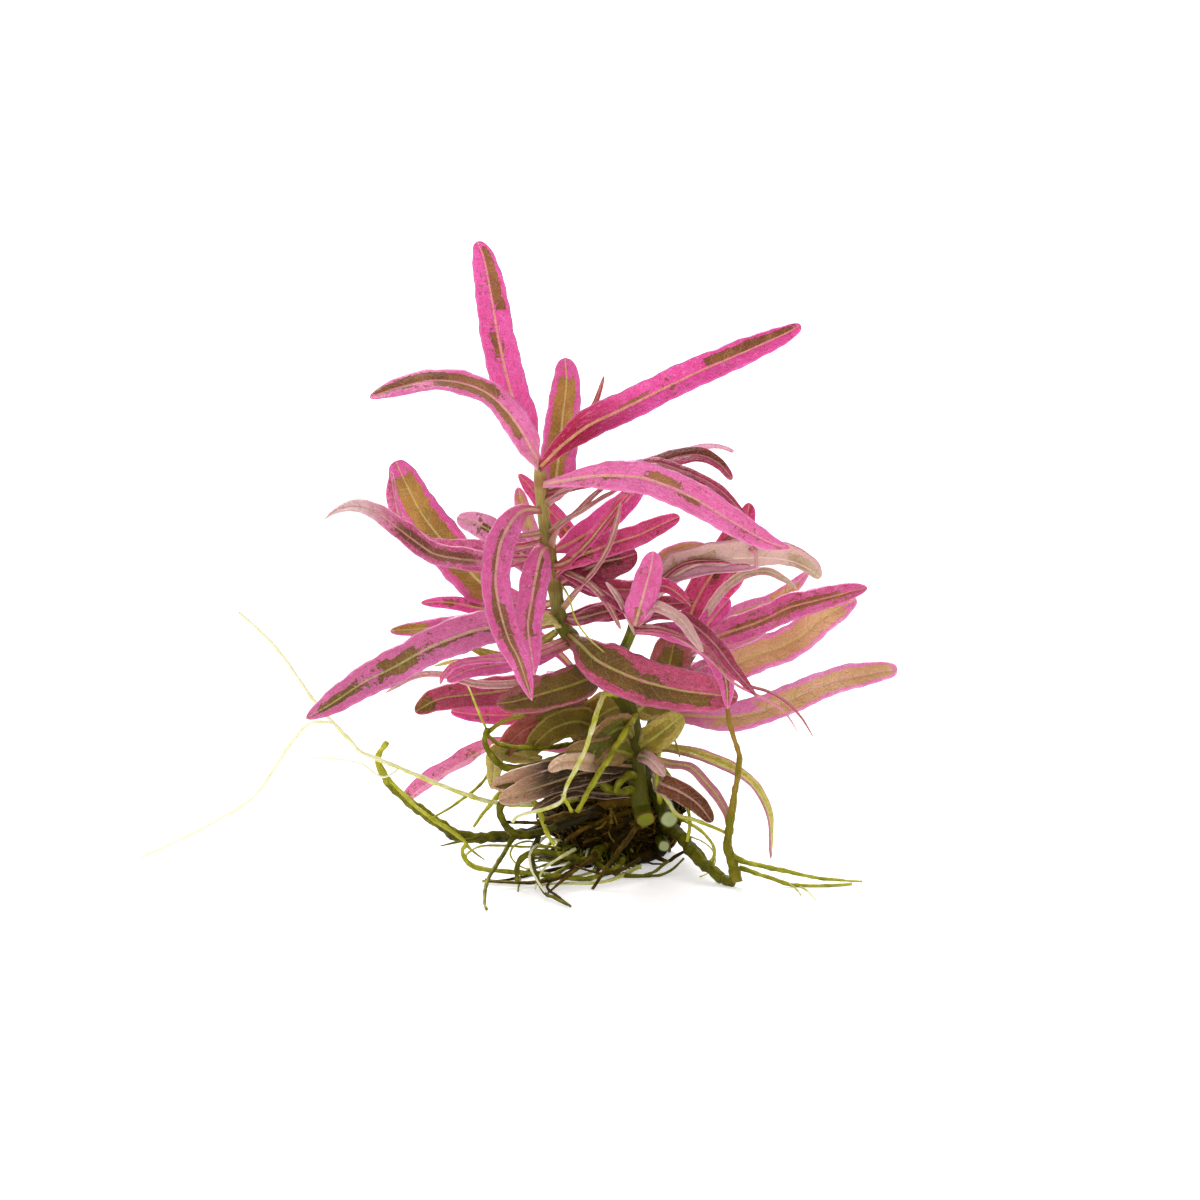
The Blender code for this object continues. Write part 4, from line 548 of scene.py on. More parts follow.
SMALL_ROOTS = [
    Tube("floor_root_left", "root_plug", 0.36, 0.16, (0.3, 0.6), [
        (-6.3, 1.7, 2), (-8.4, 0, -4), (-12.6, -1.7, -6.6), (-16.1, -1.7, -6.4), (-19.3, -1.4, -5.6)]),
    Tube("floor_root_long", "root_plug", 0.32, 0.16, (0.72, 0.8), [
        (2.8, 0.6, -1), (-2.8, -1.7, -6.6), (-8.4, -1.7, -7), (-11.2, -2, -7.8)]),
    Tube("dark_root_front", "root_plug", 0.72, 0.36, (0.14, 0.26), [
        (-2.8, 3.1, 2), (-4.5, 1.4, -3.4), (-8.4, 2.4, -6), (-12.3, 2.7, -7.2), (-14.3, 1.1, -8.4),
        (-14.4, -1.5, -9)]),
    Tube("short_root_front", "root_plug", 0.55, 0.16, (0.3, 0.4), [
        (-2.8, 3.1, 2), (-4.2, 1.7, -3.6), (-7, -0.3, -8.6), (-10.1, -2.9, -11.6)], finish="brown"),
    Tube("dark_root_middle", "root_plug", 0.5, 0.2, (0.28, 0.36), [
        (2.8, 7, 0), (1.7, 5.3, -3.4), (0, 3.1, -6), (-2.1, 0.3, -8), (-3.9, -2.5, -9.8)], finish="brown"),
    Tube("under_root", "root_plug", 0.45, 0.14, (0.16, 0.3), [
        (-3.9, 1.4, -1), (-2.2, 0.4, -3.6), (0.3, -0.6, -3.6), (4.2, -0.8, -3.4), (7, 0, -2.6),
        (9, 1.8, -1.6)]),
    Tube("pale_root_right", "right_shoot", 0.34, 0.26, (0.86, 0.62), [
        (4.2, 13.6, 5), (5.2, 11.8, 0), (6.7, 9.9, -1.6), (8, 8, -2.8), (11.2, 7, -4.4), (14.8, 5.5, -6)]),
    Tube("thin_root_right", "right_shoot", 0.3, 0.24, (0.4, 0.5), [
        (3.9, 17.1, 6), (6.2, 14.4, 0.6), (7.8, 12, -1), (9.4, 9.2, -2.6), (9.8, 6.4, -4), (9.4, 4.2, -5)]),
    Tube("small_loop_right", "root_plug", 0.24, 0.2, (0.62, 0.66), [
        (7.8, 8, 4), (9.8, 6.7, -1), (11.9, 5.2, -2.6), (13.3, 3.1, -3.8), (12.9, 0.6, -4.4)]),
    Tube("upright_root_right", "root_plug", 0.38, 0.32, (0.66, 0.56), [
        (5.9, 8.4, 3), (5.5, 10.4, -0.6), (5.2, 13.2, 0.4), (5.6, 17.1, 3.2)]),
    Tube("olive_root_front", "main_stem", 0.5, 0.36, (0.34, 0.5), [
        (2.2, 22, 1.6), (1.1, 20.2, -3.4), (-1.3, 16.4, -6.4), (-3.9, 12.3, -8), (-6, 8.4, -8.8)]),
    Tube("slanting_root_left", "root_plug", 0.34, 0.18, (0.3, 0.5), [
        (-11.2, 17.8, 5), (-16.8, 16.2, -0.4), (-19.3, 12.5, -2.4), (-23.2, 9.4, -4.4), (-26.2, 7.6, -5.4)]),
    Tube("yellow_root_left", "left_root_thick", 0.46, 0.2, (0.6, 0.7), [
        (-16.1, 11.5, 1), (-17.2, 10.5, 0), (-19, 8.4, -0.4), (-20.6, 6.2, -0.6)]),
    Tube("spur_left", "left_root_thick", 0.28, 0.1, (0.24, 0.34), [
        (-19.9, 4.8, -3.2), (-22.1, 4.3, -4.4), (-25.2, 3.6, -5.4)]),
    Tube("spur_low", "left_root_thick", 0.3, 0.1, (0.4, 0.46), [
        (-22.1, 4.8, -3), (-21, 3.2, -5.6), (-19, 1.7, -7)]),
    Tube("far_root_second", "right_root_tall", 0.36, 0.2, (0.46, 0.6), [
        (16.7, 0.6, -7), (20.3, -0.6, -7.8), (24.8, -2, -8.2), (28.7, -2.1, -8.3), (32.5, -1.7, -7.4)]),
    Tube("far_root_hair", "far_right_root", 0.14, 0.1, (0.66, 0.7), [
        (23.8, -1.7, -8.4), (24.8, -2.5, -10), (25.3, -3.4, -12.6)]),
    Tube("far_root_hair_right", "far_right_root", 0.14, 0.1, (0.7, 0.8), [
        (25.2, -2, -8.4), (26.3, -2.8, -10.6), (27.3, -4.1, -15)]),
    Tube("thin_hair_left", "hair_root_long", 0.16, 0.12, (0.98, 1.08), [
        (-30.8, 14.6, -6), (-33.2, 13.3, -6.4), (-36.1, 15.1, -6.6), (-39.2, 15.8, -6.6),
        (-43.1, 16.1, -6.4)]),
    Tube("hair_root_leaf", "left_root_loop", 0.18, 0.12, (0.6, 0.86), [
        (-18.8, 20.2, -3.2), (-19.9, 22.7, -4.2), (-21, 25.5, -5), (-22.1, 27.6, -5.6)]),
    Tube("fork_root_short", "front_root_bright", 0.3, 0.24, (0.7, 0.6), [
        (-8, 10.9, -10.2), (-7.7, 10.2, -9.9), (-7.1, 9.2, -9), (-6.6, 8.2, -8)]),
    Tube("loop_root_upper", "left_shoot", 0.4, 0.3, (0.3, 0.4), [
        (-6.3, 17.9, 6), (-10.1, 17.4, 0.6), (-14, 17.4, -1), (-16.8, 17.8, -2), (-18.6, 19.2, -2.6)]),
    Tube("loop_root_low", "left_shoot", 0.5, 0.4, (0.16, 0.34), [
        (-3.9, 17.6, 5.6), (-7.6, 16.4, -1), (-11.9, 14.7, -3.2), (-15.4, 14.3, -4), (-17.9, 16.1, -4.2),
        (-18.9, 18.2, -4), (-18.6, 20.2, -3.6)]),
    Tube("stub_green_left", "main_stem", 0.6, 0.5, (0.34, 0.24), [
        (2, 11.5, 0.6), (0.3, 11.2, -3.4), (-1.7, 11.6, -5), (-2.8, 12.6, -5.6), (-3.9, 12, -6.2)]),
    Tube("stub_green_right", "main_stem", 0.6, 0.45, (0.34, 0.24), [
        (2.2, 13.2, 0.8), (1.4, 13.6, -3), (0, 12.6, -4.8), (-0.7, 11.1, -5.4)]),
    Tube("fine_root_right", "right_shoot", 0.18, 0.12, (0.4, 0.4), [
        (6.7, 19.2, 7), (7.8, 18.2, 2), (8.4, 16, 0.6)]),
    Tube("green_filament", "main_stem", 0.16, 0.1, (0.6, 0.7), [
        (-8.4, 40.6, -4), (-7.1, 38.4, -6.8), (-6.3, 35.6, -7.8), (-4.5, 32.9, -8.4), (-2.2, 30.8, -8.8)]),
    Tube("cream_root_front", "root_plug", 0.22, 0.16, (0.9, 0.98), [
        (-10.5, 4.8, 0), (-12.5, 2.8, -8), (-12.5, 0.8, -11.4), (-11.6, -1.1, -13.4), (-10.4, -2.7, -14.6)]),
    Tube("brown_root_low", "root_plug", 0.4, 0.22, (0.1, 0.3), [
        (-2.8, 8, -2), (-5, 8.3, -8), (-7.6, 7.7, -8.6), (-10.1, 7, -7.4), (-12.9, 6.9, -6),
        (-16.1, 7, -4.8)], finish="brown"),
    Tube("tan_root_mat", "root_plug", 0.3, 0.12, (0.76, 0.84), [
        (-6.3, 3.1, -3), (-8.4, 2, -8), (-10.5, 0.6, -9), (-11.5, -1.1, -9.8), (-11.9, -2.4, -10.4)]),
    Tube("floor_root_dark", "root_plug", 0.38, 0.12, (0.28, 0.4), [
        (-4.9, 1.4, -2), (-8.4, -0.8, -8), (-11.9, -1.5, -8), (-15.7, -1.5, -7.2), (-18.8, -1.4, -6.6)],
        finish="brown"),
    Tube("mat_root_middle", "root_plug", 0.34, 0.12, (0.26, 0.4), [
        (2.8, 1.7, -3), (0.3, 0.3, -5), (-2, -0.3, -6.4), (-4.2, 0.1, -7.2), (-6.3, 0.8, -7.6)],
        finish="brown"),
    Tube("mat_root_right", "root_plug", 0.3, 0.1, (0.2, 0.3), [
        (6.7, 1.4, -1), (4.9, 0, -3.8), (2.8, -0.6, -4.4), (0.3, -0.1, -5)]),
    Tube("brown_root_band", "root_plug", 0.85, 0.5, (0.42, 0.52), [
        (4.9, 10.1, 5.4), (2.8, 9.8, 3.5), (0.3, 9.5, 2.7), (-2.2, 9.1, 2.8), (-4.5, 8.5, 3.3),
        (-6.7, 8, 2.6), (-9, 7.4, 0.6), (-11.1, 6.9, -1)], finish="brown"),
    Tube("brown_root_second", "root_plug", 0.5, 0.3, (0.3, 0.5), [
        (4.2, 8.4, 5), (1.7, 8.4, 2.3), (-0.8, 7.7, 2.2), (-3.2, 6.7, 2.7), (-5.6, 5.6, 2.2),
        (-7.6, 4.2, 1)], finish="brown"),
    Tube("plug_root_twist", "root_plug", 0.5, 0.36, (0.1, 0.3), [
        (4.9, 5.2, 4.4), (2.8, 5.9, 3.1), (0.8, 5.3, 3), (-0.6, 3.9, 3), (-1.1, 2.2, 3), (-2, 0.6, 2.4),
        (-3.4, -0.6, -1)], finish="brown"),
    Tube("plug_root_cross", "root_plug", 0.42, 0.26, (0.2, 0.12), [
        (-2.8, 4.8, 3.4), (-1.1, 5.6, 2.6), (0.6, 6.7, 2.1), (2, 8.1, 2.2), (2.8, 9.5, 3.3)],
        finish="brown"),
    Tube("lump_root_right", "root_plug", 1.1, 0.8, (0.04, 0.06), [
        (6.2, 3.6, 8), (5.7, 3.1, 5), (4.2, 2.2, 3.6), (2.8, 1.8, 2.8), (1.4, 1.7, 2.6)], finish="brown"),
    Tube("floor_root_brown", "root_plug", 0.34, 0.14, (0.12, 0.3), [
        (-4.2, 0.8, 0), (-6.7, 0.6, -1), (-10.1, 0, -1.2), (-14, -1, -4), (-16.8, -1.4, -5.6),
        (-18.9, -1.1, -5)], finish="brown"),
    Tube("floor_twig_left", "root_plug", 0.22, 0.1, (0.3, 0.4), [
        (-8.4, 1.4, 1), (-11.2, 0.6, -0.4), (-13.6, -0.3, -1.6), (-14.1, -1.7, -6.6), (-14.3, -2.8, -10.8)]),
    Tube("floor_twig_tan", "root_plug", 0.24, 0.12, (0.7, 0.8), [
        (-2.8, 0.6, 0), (-5, -0.6, -2.6), (-7.6, -0.8, -3.8), (-10.4, -0.3, -2), (-13, 0.4, -0.4)]),
    Tube("floor_twig_dark", "root_plug", 0.3, 0.12, (0.3, 0.4), [
        (-8.4, -0.6, -1), (-9.9, -1.7, -6.6), (-10.1, -2.5, -9.8), (-8.7, -3.5, -13.4), (-7, -4.6, -17.8)],
        finish="brown"),
    Tube("floor_loop_left", "root_plug", 0.2, 0.14, (0.56, 0.7), [
        (-10.5, 3.4, 2), (-13.7, 3.4, 0), (-17.1, 3.6, -1), (-19.9, 3.4, -1.6), (-21.6, 2.2, -1.4),
        (-21, 1.1, 1.6), (-18.8, 0.4, 0.6), (-16, 0, -0.6)]),
    Tube("floor_loop_inner", "root_plug", 0.18, 0.12, (0.5, 0.6), [
        (-8.4, 3.1, 2), (-10.8, 3.6, 0), (-12.9, 4.2, -1), (-14.8, 3.6, -1.6), (-15.4, 2.2, -1),
        (-14.3, 0.8, 0.4), (-12.3, 0, -0.6)]),
    Tube("hair_front_left", "root_plug", 0.12, 0.08, (0.9, 0.96), [
        (-8.4, 4.2, 2), (-10.5, 4.8, -2), (-12, 4.2, -3.4), (-12.6, 2.8, -4.2), (-11.9, 1.1, -6.4),
        (-10.5, -0.3, -9)]),
    Tube("hair_front_right", "root_plug", 0.14, 0.08, (0.7, 0.8), [
        (9.8, 4.8, 4), (11.5, 4.2, -1), (12.9, 3.1, -2.4), (13.4, 1.4, -3.6), (12.6, -0.1, -2.6),
        (11.2, -0.8, -3.8)]),
    Tube("yellow_root_back", "root_plug", 0.26, 0.16, (0.6, 0.66), [
        (7.8, 7.3, 6), (9.8, 6.7, 1.6), (11.5, 5.6, 0.6), (12.9, 3.9, 0), (13.2, 2.2, 0.4), (12.3, 0.8, 2)]),
    Tube("brown_root_right", "root_plug", 0.4, 0.16, (0.2, 0.34), [
        (4.9, 2, 4), (6.7, 1.3, 1), (7.8, 2, 0.6), (9.2, 2.8, 0.2), (10.8, 3.4, 0)], finish="brown"),
    Tube("foot_root_right", "right_root_thick", 0.76, 0.62, (0.26, 0.3), [
        (11.9, 1, -4.5), (13.6, -0.3, -6.2), (14.9, -1.2, -7.4), (15.9, -1.5, -8.2)]),
]

ALL_LEAVES = (CROWN_LEAVES + UPPER_RIGHT_LEAVES + MIDDLE_SHOOT_LEAVES + RIGHT_SHOOT_LEAVES + LEFT_LEAVES
              + FRONT_LEAVES + SMALL_LEAVES)
LEAF_NUMBERS = {leaf.name: number for number, leaf in enumerate(ALL_LEAVES)}

# Pale And Glint is a paler blade tone, used for pale mottles and the vein net, and for painted light: glint
# lines along folds and a highlight along the margin
BLADE_COLOURS = ("Blade", "Deep", "Base", "Patch", "Patch Deep", "Rib", "Pale And Glint", "Under")
STALK_COLOURS = ("Young", "Old", "Node", "Cut")
ROOT_COLOURS = ("Dark", "Olive", "Light", "Cream")
GROUP_RESULTS = ("Color", "Height", "Roughness")

# Slot, how many brown specks there are, and the blade's colours in the order of BLADE_COLOURS, as 0 to 255
# in sRGB
LeafFinish = namedtuple("LeafFinish", "slot specks colours")
LEAF_FINISHES = {
    "hot_pink": LeafFinish("leaf_pink", 0.6, [
        (246, 100, 188), (226, 74, 152), (212, 84, 128), (176, 118, 70), (120, 70, 38), (236, 184, 140),
        (252, 160, 218), (236, 150, 195)]),
    "soft_pink": LeafFinish("leaf_pink", 0.6, [
        (242, 126, 186), (222, 92, 156), (224, 166, 172), (172, 118, 74), (124, 74, 42), (234, 188, 156),
        (250, 172, 214), (236, 160, 195)]),
    "folded_pink": LeafFinish("leaf_pink", 0.75, [
        (246, 96, 186), (222, 60, 144), (166, 20, 66), (176, 118, 70), (120, 70, 38), (232, 180, 132),
        (252, 160, 218), (236, 150, 195)]),
    "rose": LeafFinish("leaf_pink", 0.5, [
        (232, 108, 178), (202, 74, 134), (186, 96, 100), (160, 104, 72), (122, 72, 50), (222, 180, 148),
        (244, 156, 206), (214, 160, 180)]),
    "rose_green": LeafFinish("leaf_pink", 0.65, [
        (226, 124, 178), (196, 92, 142), (178, 108, 118), (142, 104, 56), (100, 68, 32), (200, 198, 128),
        (236, 156, 202), (238, 172, 206)]),
    "speckled": LeafFinish("leaf_pink", 1.2, [
        (238, 114, 178), (208, 70, 134), (196, 90, 110), (184, 120, 80), (126, 68, 38), (226, 182, 124),
        (248, 166, 212), (220, 150, 180)]),
    "crimson": LeafFinish("leaf_pink", 0.8, [
        (230, 76, 148), (178, 42, 88), (156, 58, 68), (146, 82, 54), (98, 42, 28), (222, 170, 126),
        (242, 134, 186), (200, 110, 140)]),
    "tan": LeafFinish("leaf_pink", 0.3, [
        (242, 156, 204), (226, 120, 178), (206, 120, 140), (222, 180, 138), (204, 158, 116), (216, 208, 124),
        (246, 182, 216), (224, 180, 190)]),
    "spring": LeafFinish("leaf_pink", 0.55, [
        (238, 112, 186), (210, 80, 150), (190, 100, 120), (196, 154, 78), (152, 114, 48), (224, 216, 138),
        (246, 160, 208), (220, 160, 190)]),
    "blush": LeafFinish("leaf_pale", 0.1, [
        (232, 178, 200), (214, 152, 178), (206, 176, 166), (176, 124, 100), (140, 90, 70), (232, 200, 190),
        (246, 186, 214), (230, 178, 200)]),
    "stalk": LeafFinish("leaf_pale", 0.1, [
        (198, 128, 130), (156, 84, 92), (176, 146, 90), (150, 110, 60), (110, 70, 40), (212, 186, 140),
        (226, 156, 176), (196, 146, 134)]),
    # The maroon blades are partly their own darker red and partly painted shade: a darker copy of the pink
    # for leaves that lie in shade among the stalks
    "maroon": LeafFinish("leaf_dusky", 0.2, [
        (188, 60, 96), (126, 32, 42), (136, 56, 52), (126, 60, 34), (94, 36, 22), (212, 154, 146),
        (226, 124, 172), (196, 130, 150)]),
    "dusky": LeafFinish("leaf_dusky", 0.5, [
        (206, 86, 122), (154, 54, 74), (120, 76, 44), (128, 92, 42), (90, 58, 22), (184, 182, 96),
        (228, 128, 176), (180, 110, 130)]),
    "olive": LeafFinish("leaf_olive", 0.3, [
        (162, 86, 84), (124, 72, 52), (112, 84, 36), (116, 88, 30), (84, 58, 18), (162, 150, 62),
        (206, 112, 144), (150, 120, 90)]),
    "bronze": LeafFinish("leaf_olive", 0.4, [
        (152, 120, 50), (108, 86, 20), (124, 114, 30), (108, 104, 20), (72, 66, 8), (146, 152, 58),
        (196, 146, 130), (150, 130, 80)]),
    # This pale grey-pink is partly painted sheen, standing in for light off the torn leaf's wet upper side,
    # and partly the own pale tone of the thin strips
    "pale_and_sheen": LeafFinish("leaf_pale", 0.5, [
        (228, 190, 182), (194, 150, 138), (204, 158, 144), (204, 184, 156), (166, 136, 106), (234, 212, 186),
        (238, 146, 192), (206, 184, 168)]),
    "arch": LeafFinish("leaf_pale", 0.1, [
        (210, 150, 156), (178, 114, 122), (170, 160, 66), (220, 214, 110), (192, 184, 74), (204, 200, 100),
        (218, 140, 170), (180, 150, 140)]),
    # On the mauve blades the near-black base colour, which covers most of each blade, is painted shade under
    # the crown
    "mauve": LeafFinish("leaf_dusky", 0.3, [
        (238, 202, 174), (186, 146, 108), (52, 36, 2), (120, 110, 38), (82, 70, 14), (188, 158, 110),
        (232, 196, 176), (190, 160, 122)]),
    "veined": LeafFinish("leaf_dusky", 0.1, [
        (196, 156, 136), (150, 106, 76), (112, 108, 56), (132, 76, 44), (96, 54, 20), (222, 176, 160),
        (232, 206, 190), (180, 140, 120)]),
    "streaked": LeafFinish("leaf_pink", 0.4, [
        (236, 112, 172), (170, 52, 100), (190, 84, 110), (156, 96, 74), (112, 60, 44), (220, 178, 150),
        (250, 186, 214), (236, 210, 206)]),
    "green": LeafFinish("leaf_olive", 0.3, [
        (200, 188, 88), (140, 128, 34), (136, 124, 30), (164, 144, 50), (116, 96, 22), (190, 188, 96),
        (196, 162, 112), (170, 158, 84)]),
    "yellow": LeafFinish("leaf_olive", 0.5, [
        (216, 208, 124), (188, 172, 80), (172, 168, 62), (150, 110, 50), (120, 80, 40), (224, 216, 146),
        (220, 208, 140), (212, 204, 128)]),
    "rust": LeafFinish("leaf_dusky", 0.4, [
        (200, 118, 104), (150, 78, 58), (120, 72, 36), (134, 86, 44), (98, 58, 24), (208, 146, 116),
        (226, 132, 142), (180, 120, 96)]),
}

# In the order of STALK_COLOURS
STEM_FINISHES = {
    "stem_upper": ((170, 150, 84), (80, 78, 10), (150, 100, 62), (124, 128, 26)),
    "stem_lower": ((112, 118, 20), (68, 70, 6), (46, 48, 2), (172, 180, 128)),
}

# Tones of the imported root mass, from its hollows to its palest fibres
PLUG_TONES = ((16, 9, 0), (62, 46, 6), (130, 100, 32), (184, 156, 72))

# Four tones in the order of ROOT_COLOURS, and shine. The green roots have the settings and PALEST_ROOT.
ROOT_FINISHES = {
    "brown": (PLUG_TONES, 0.05),
    "tan": (((66, 64, 6), (118, 112, 20), (170, 132, 62), (208, 178, 112)), 0.1),
}
PALEST_ROOT = (234, 232, 200)
TUBE_SHINE = 0.14

BUMP_DISTANCE = 0.0003
LEAF_BUMP = 1.0
TUBE_BUMP = 0.5
LEAF_SHINE = 0.18
LEAF_COAT = 0.12
COAT_ROUGHNESS = 0.15
SOFT_SCALE = 0.0012
LEAF_SOFT_RADIUS = (1.0, 0.4, 0.4)
TUBE_SOFT_RADIUS = (0.8, 0.8, 0.3)
TUBE_SOFTNESS = 0.1
FLOOR_HALF_WIDTH = 4.0
FLOOR_UNEVENNESS = 0.985
LAMP_SPREAD = math.radians(25)
LAMP_TURN = (math.radians(-46), math.radians(-16), 0)
FRAME_MIDDLE = (-2.8, 38.1, 0)


# Paths


def world(points):
    """Front-view points (across, rise, depth) as x, y, z in millimetres."""
    across, rise, depth = np.array(points, float).T
    height = (rise - depth * math.sin(VIEW_TILT)) / math.cos(VIEW_TILT)
    return np.stack([across - FOOT_ACROSS, depth - FOOT_DEPTH, height], axis=1)


def unit(vectors):
    return vectors / np.linalg.norm(vectors, axis=-1, keepdims=True)


def curve_through(points):
    """A dense smooth curve (Catmull-Rom) through the points."""
    ends = np.vstack([2 * points[0] - points[1], points, 2 * points[-1] - points[-2]])
    t = np.linspace(0, 1, CURVE_STEPS, endpoint=False)[:, None]
    stretches = [
        0.5 * (2 * b + (c - a) * t + (2 * a - 5 * b + 4 * c - d) * t**2 + (3 * b - a - 3 * c + d) * t**3)
        for a, b, c, d in zip(ends, ends[1:], ends[2:], ends[3:])
    ]
    return np.vstack(stretches + [points[-1:]])


def share_along(curve):
    """Distance along the curve, as a share of its length, with the length."""
    steps = np.linalg.norm(np.diff(curve, axis=0), axis=1)
    along = np.concatenate([[0], np.cumsum(steps)])
    return along / along[-1], along[-1]


def points_at(curve, shares):
    """The curve's points at the given shares of its length."""
    share = share_along(curve)[0]
    return np.stack([np.interp(shares, share, curve[:, axis]) for axis in range(3)], axis=1)


def plug_scale(directions):
    """How far the plug's lumpy surface lies along each unit direction, with 1 on the plain ellipsoid."""
    x, y, z = np.moveaxis(directions, -1, 0)
    waves = np.sin(5 * x + 2 * z) * np.cos(4 * y - 1) + np.sin(7 * z + 3 * y) * np.cos(6 * x + 2)
    return 1 + PLUG_LUMP_SHARE * waves


def outside_plug(points):
    """About how far each point lies outside the plug's surface."""
    local = (points - PLUG_CENTRE) / np.array(PLUG_RADII)
    size = np.linalg.norm(local, axis=1)
    return (size - plug_scale(local / size[:, None])) * min(PLUG_RADII)


def radii_along(tube, share):
    """The tube's radii at the given shares of its length."""
    return tube.start_radius + (tube.end_radius - tube.start_radius) * share


def outside_tube(points, tube, curve):
    """How far each point lies outside a tube, by the tube's nearest axis point."""
    gaps = np.linalg.norm(points[:, None, :] - curve[None, :, :], axis=2)
    return gaps.min(axis=1) - radii_along(tube, share_along(curve)[0])[gaps.argmin(axis=1)]


def grown_curve(points, parent):
    """The smooth curve of a piece, starting a little inside the surface of what it grows from."""
    curve = curve_through(world(points))
    if parent is None:
        return curve
    outside = outside_plug(curve) if parent == "root_plug" else outside_tube(curve, *tube_curve(parent))
    inside = np.flatnonzero(outside < -JOIN_DEPTH)
    return curve[inside[-1] + 1:] if len(inside) else curve


@cache
def tube_curve(name):
    """A stem or root and its curve, worked out once."""
    tube = next(tube for tube in STEMS + ROOTS if tube.name == name)
    return tube, grown_curve(tube.points, tube.parent)


# Surfaces


def smooth_step(value):
    value = np.clip(value, 0, 1)
    return value * value * (3 - 2 * value)


def ring_faces(rows, around):
    """Quads between neighbouring rings, and a fan of triangles to a point at each end."""
    row = np.arange(rows - 1)[:, None] * around
    here = np.arange(around)
    after = (here + 1) % around
    quads = np.stack([row + here, row + after, row + around + after, row + around + here], axis=-1)
    last = (rows - 1) * around
    start_point, end_point = rows * around, rows * around + 1
    start = np.stack([np.full(around, start_point), after, here], axis=-1)
    end = np.stack([np.full(around, end_point), last + here, last + after], axis=-1)
    return quads.reshape(-1, 4), np.vstack([start, end])


def closed_skin(rings, end_points, values):
    """A closed skin: rings (rows, around, 3) with a point at each end, and values (rows, around, ...)
    carried by its points, which the two end points take from the first and last ring."""
    rows, around = rings.shape[:2]
    points = np.vstack([rings.reshape(-1, 3), end_points])
    carried = {}
    for name, value in values.items():
        grid = value.reshape(rows, around, -1)
        carried[name] = np.vstack([grid.reshape(rows * around, -1), grid[0].mean(0), grid[-1].mean(0)])
    quads, triangles = ring_faces(rows, around)
    return Skin(points, quads, triangles, carried)


Skin = namedtuple("Skin", "points quads triangles values")


def spread(*parts):
    """Values of the points as one array, each spread over the whole grid of points."""
    return np.stack(np.broadcast_arrays(*parts), axis=-1)


def joined(skins):
    """Several skins as one."""
    starts = np.cumsum([0] + [len(skin.points) for skin in skins[:-1]])
    return Skin(
        np.vstack([skin.points for skin in skins]),
        np.vstack([skin.quads + start for skin, start in zip(skins, starts)]),
        np.vstack([skin.triangles + start for skin, start in zip(skins, starts)]),
        {name: np.vstack([skin.values[name] for skin in skins]) for name in skins[0].values},
    )


def add_piece(name, skin, material, stands_for=()):
    """Makes the mesh object of a skin, in metres, riding on the plant's one body."""
    mesh = bpy.data.meshes.new(name)
    mesh.from_pydata((skin.points * MM).tolist(), [], skin.quads.tolist() + skin.triangles.tolist())
    for key, value in skin.values.items():
        attribute = mesh.attributes.new(key, "FLOAT_VECTOR", "POINT")
        attribute.data.foreach_set("vector", value.astype(np.float32).ravel())
    mesh.shade_smooth()
    mesh.materials.append(material)
    mesh.update()
    piece = bpy.data.objects.new(name, mesh)
    bpy.context.scene.collection.objects.link(piece)
    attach(piece, "root")
    if stands_for:
        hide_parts(*stands_for)


def facing(lean, yaw):
    """The direction a blade faces: toward the viewer, leaned up and turned to the right."""
    lean, yaw = math.radians(lean), math.radians(yaw)
    return np.array([math.cos(lean) * math.sin(yaw), -math.cos(lean) * math.cos(yaw), math.sin(lean)])


def blade_widths(share, width, widening, point):
    """Full widths along a lance-shaped leaf: a narrow stalk, a long widening, a slight taper, and a tip
    that is blunt or, with a larger point, sharp."""
    rising = smooth_step(share / widening)
    falling = np.clip((share - 1 + TIP_SHARE) / TIP_SHARE, 0, 1)
    blade = (PETIOLE_WIDTH + (width - PETIOLE_WIDTH) * rising) * (1 - TAPER_SHARE * (share - WIDEST_SHARE))
    return blade * (1 - falling**TIP_BLUNTNESS) ** point


def blade_frames(leaf, shares):
    """The blade's path with its side and top directions. The sides are averaged along the path over the
    same length as the solids' sides are."""
    curve = grown_curve(leaf.points, leaf.stem)
    length = share_along(curve)[1]
    rows = max(5, round(length / FRAME_STEP))
    even = np.linspace(0, 1, rows + 1)
    path = points_at(curve, even)
    share = even[:, None]
    tip_lean = leaf.lean if leaf.tip_lean is None else leaf.tip_lean
    tip_yaw = leaf.yaw if leaf.tip_yaw is None else leaf.tip_yaw
    normals = (1 - share) * facing(leaf.lean, leaf.yaw) + share * facing(tip_lean, tip_yaw)
    sides = unit(np.cross(unit(np.gradient(path, axis=0)), normals))
    for _ in range(round(SOLID_SMOOTHING_PASSES * (SOLID_RING_STEP / FRAME_STEP) ** 2)):
        ends = np.vstack([sides[:1], sides, sides[-1:]])
        sides = unit(ends[:-2] + 2 * ends[1:-1] + ends[2:])
    path_here = points_at(curve, shares)
    tangents = unit(np.gradient(path_here, axis=0))
    sides_here = np.stack([np.interp(shares, even, sides[:, axis]) for axis in range(3)], axis=1)
    tops = unit(np.cross(sides_here, tangents))
    return path_here, unit(np.cross(tangents, tops)), tops, length


def edge_waves(waves, along, t, phases):
    """Sums of sine waves along a blade, one sum for its left edge (t < 0) and one for its right."""
    left, right = (sum(height * np.sin(along * rate + phase) for (rate, height), phase in zip(waves, edge))
                   for edge in phases)
    return np.where(t < 0, left, right)


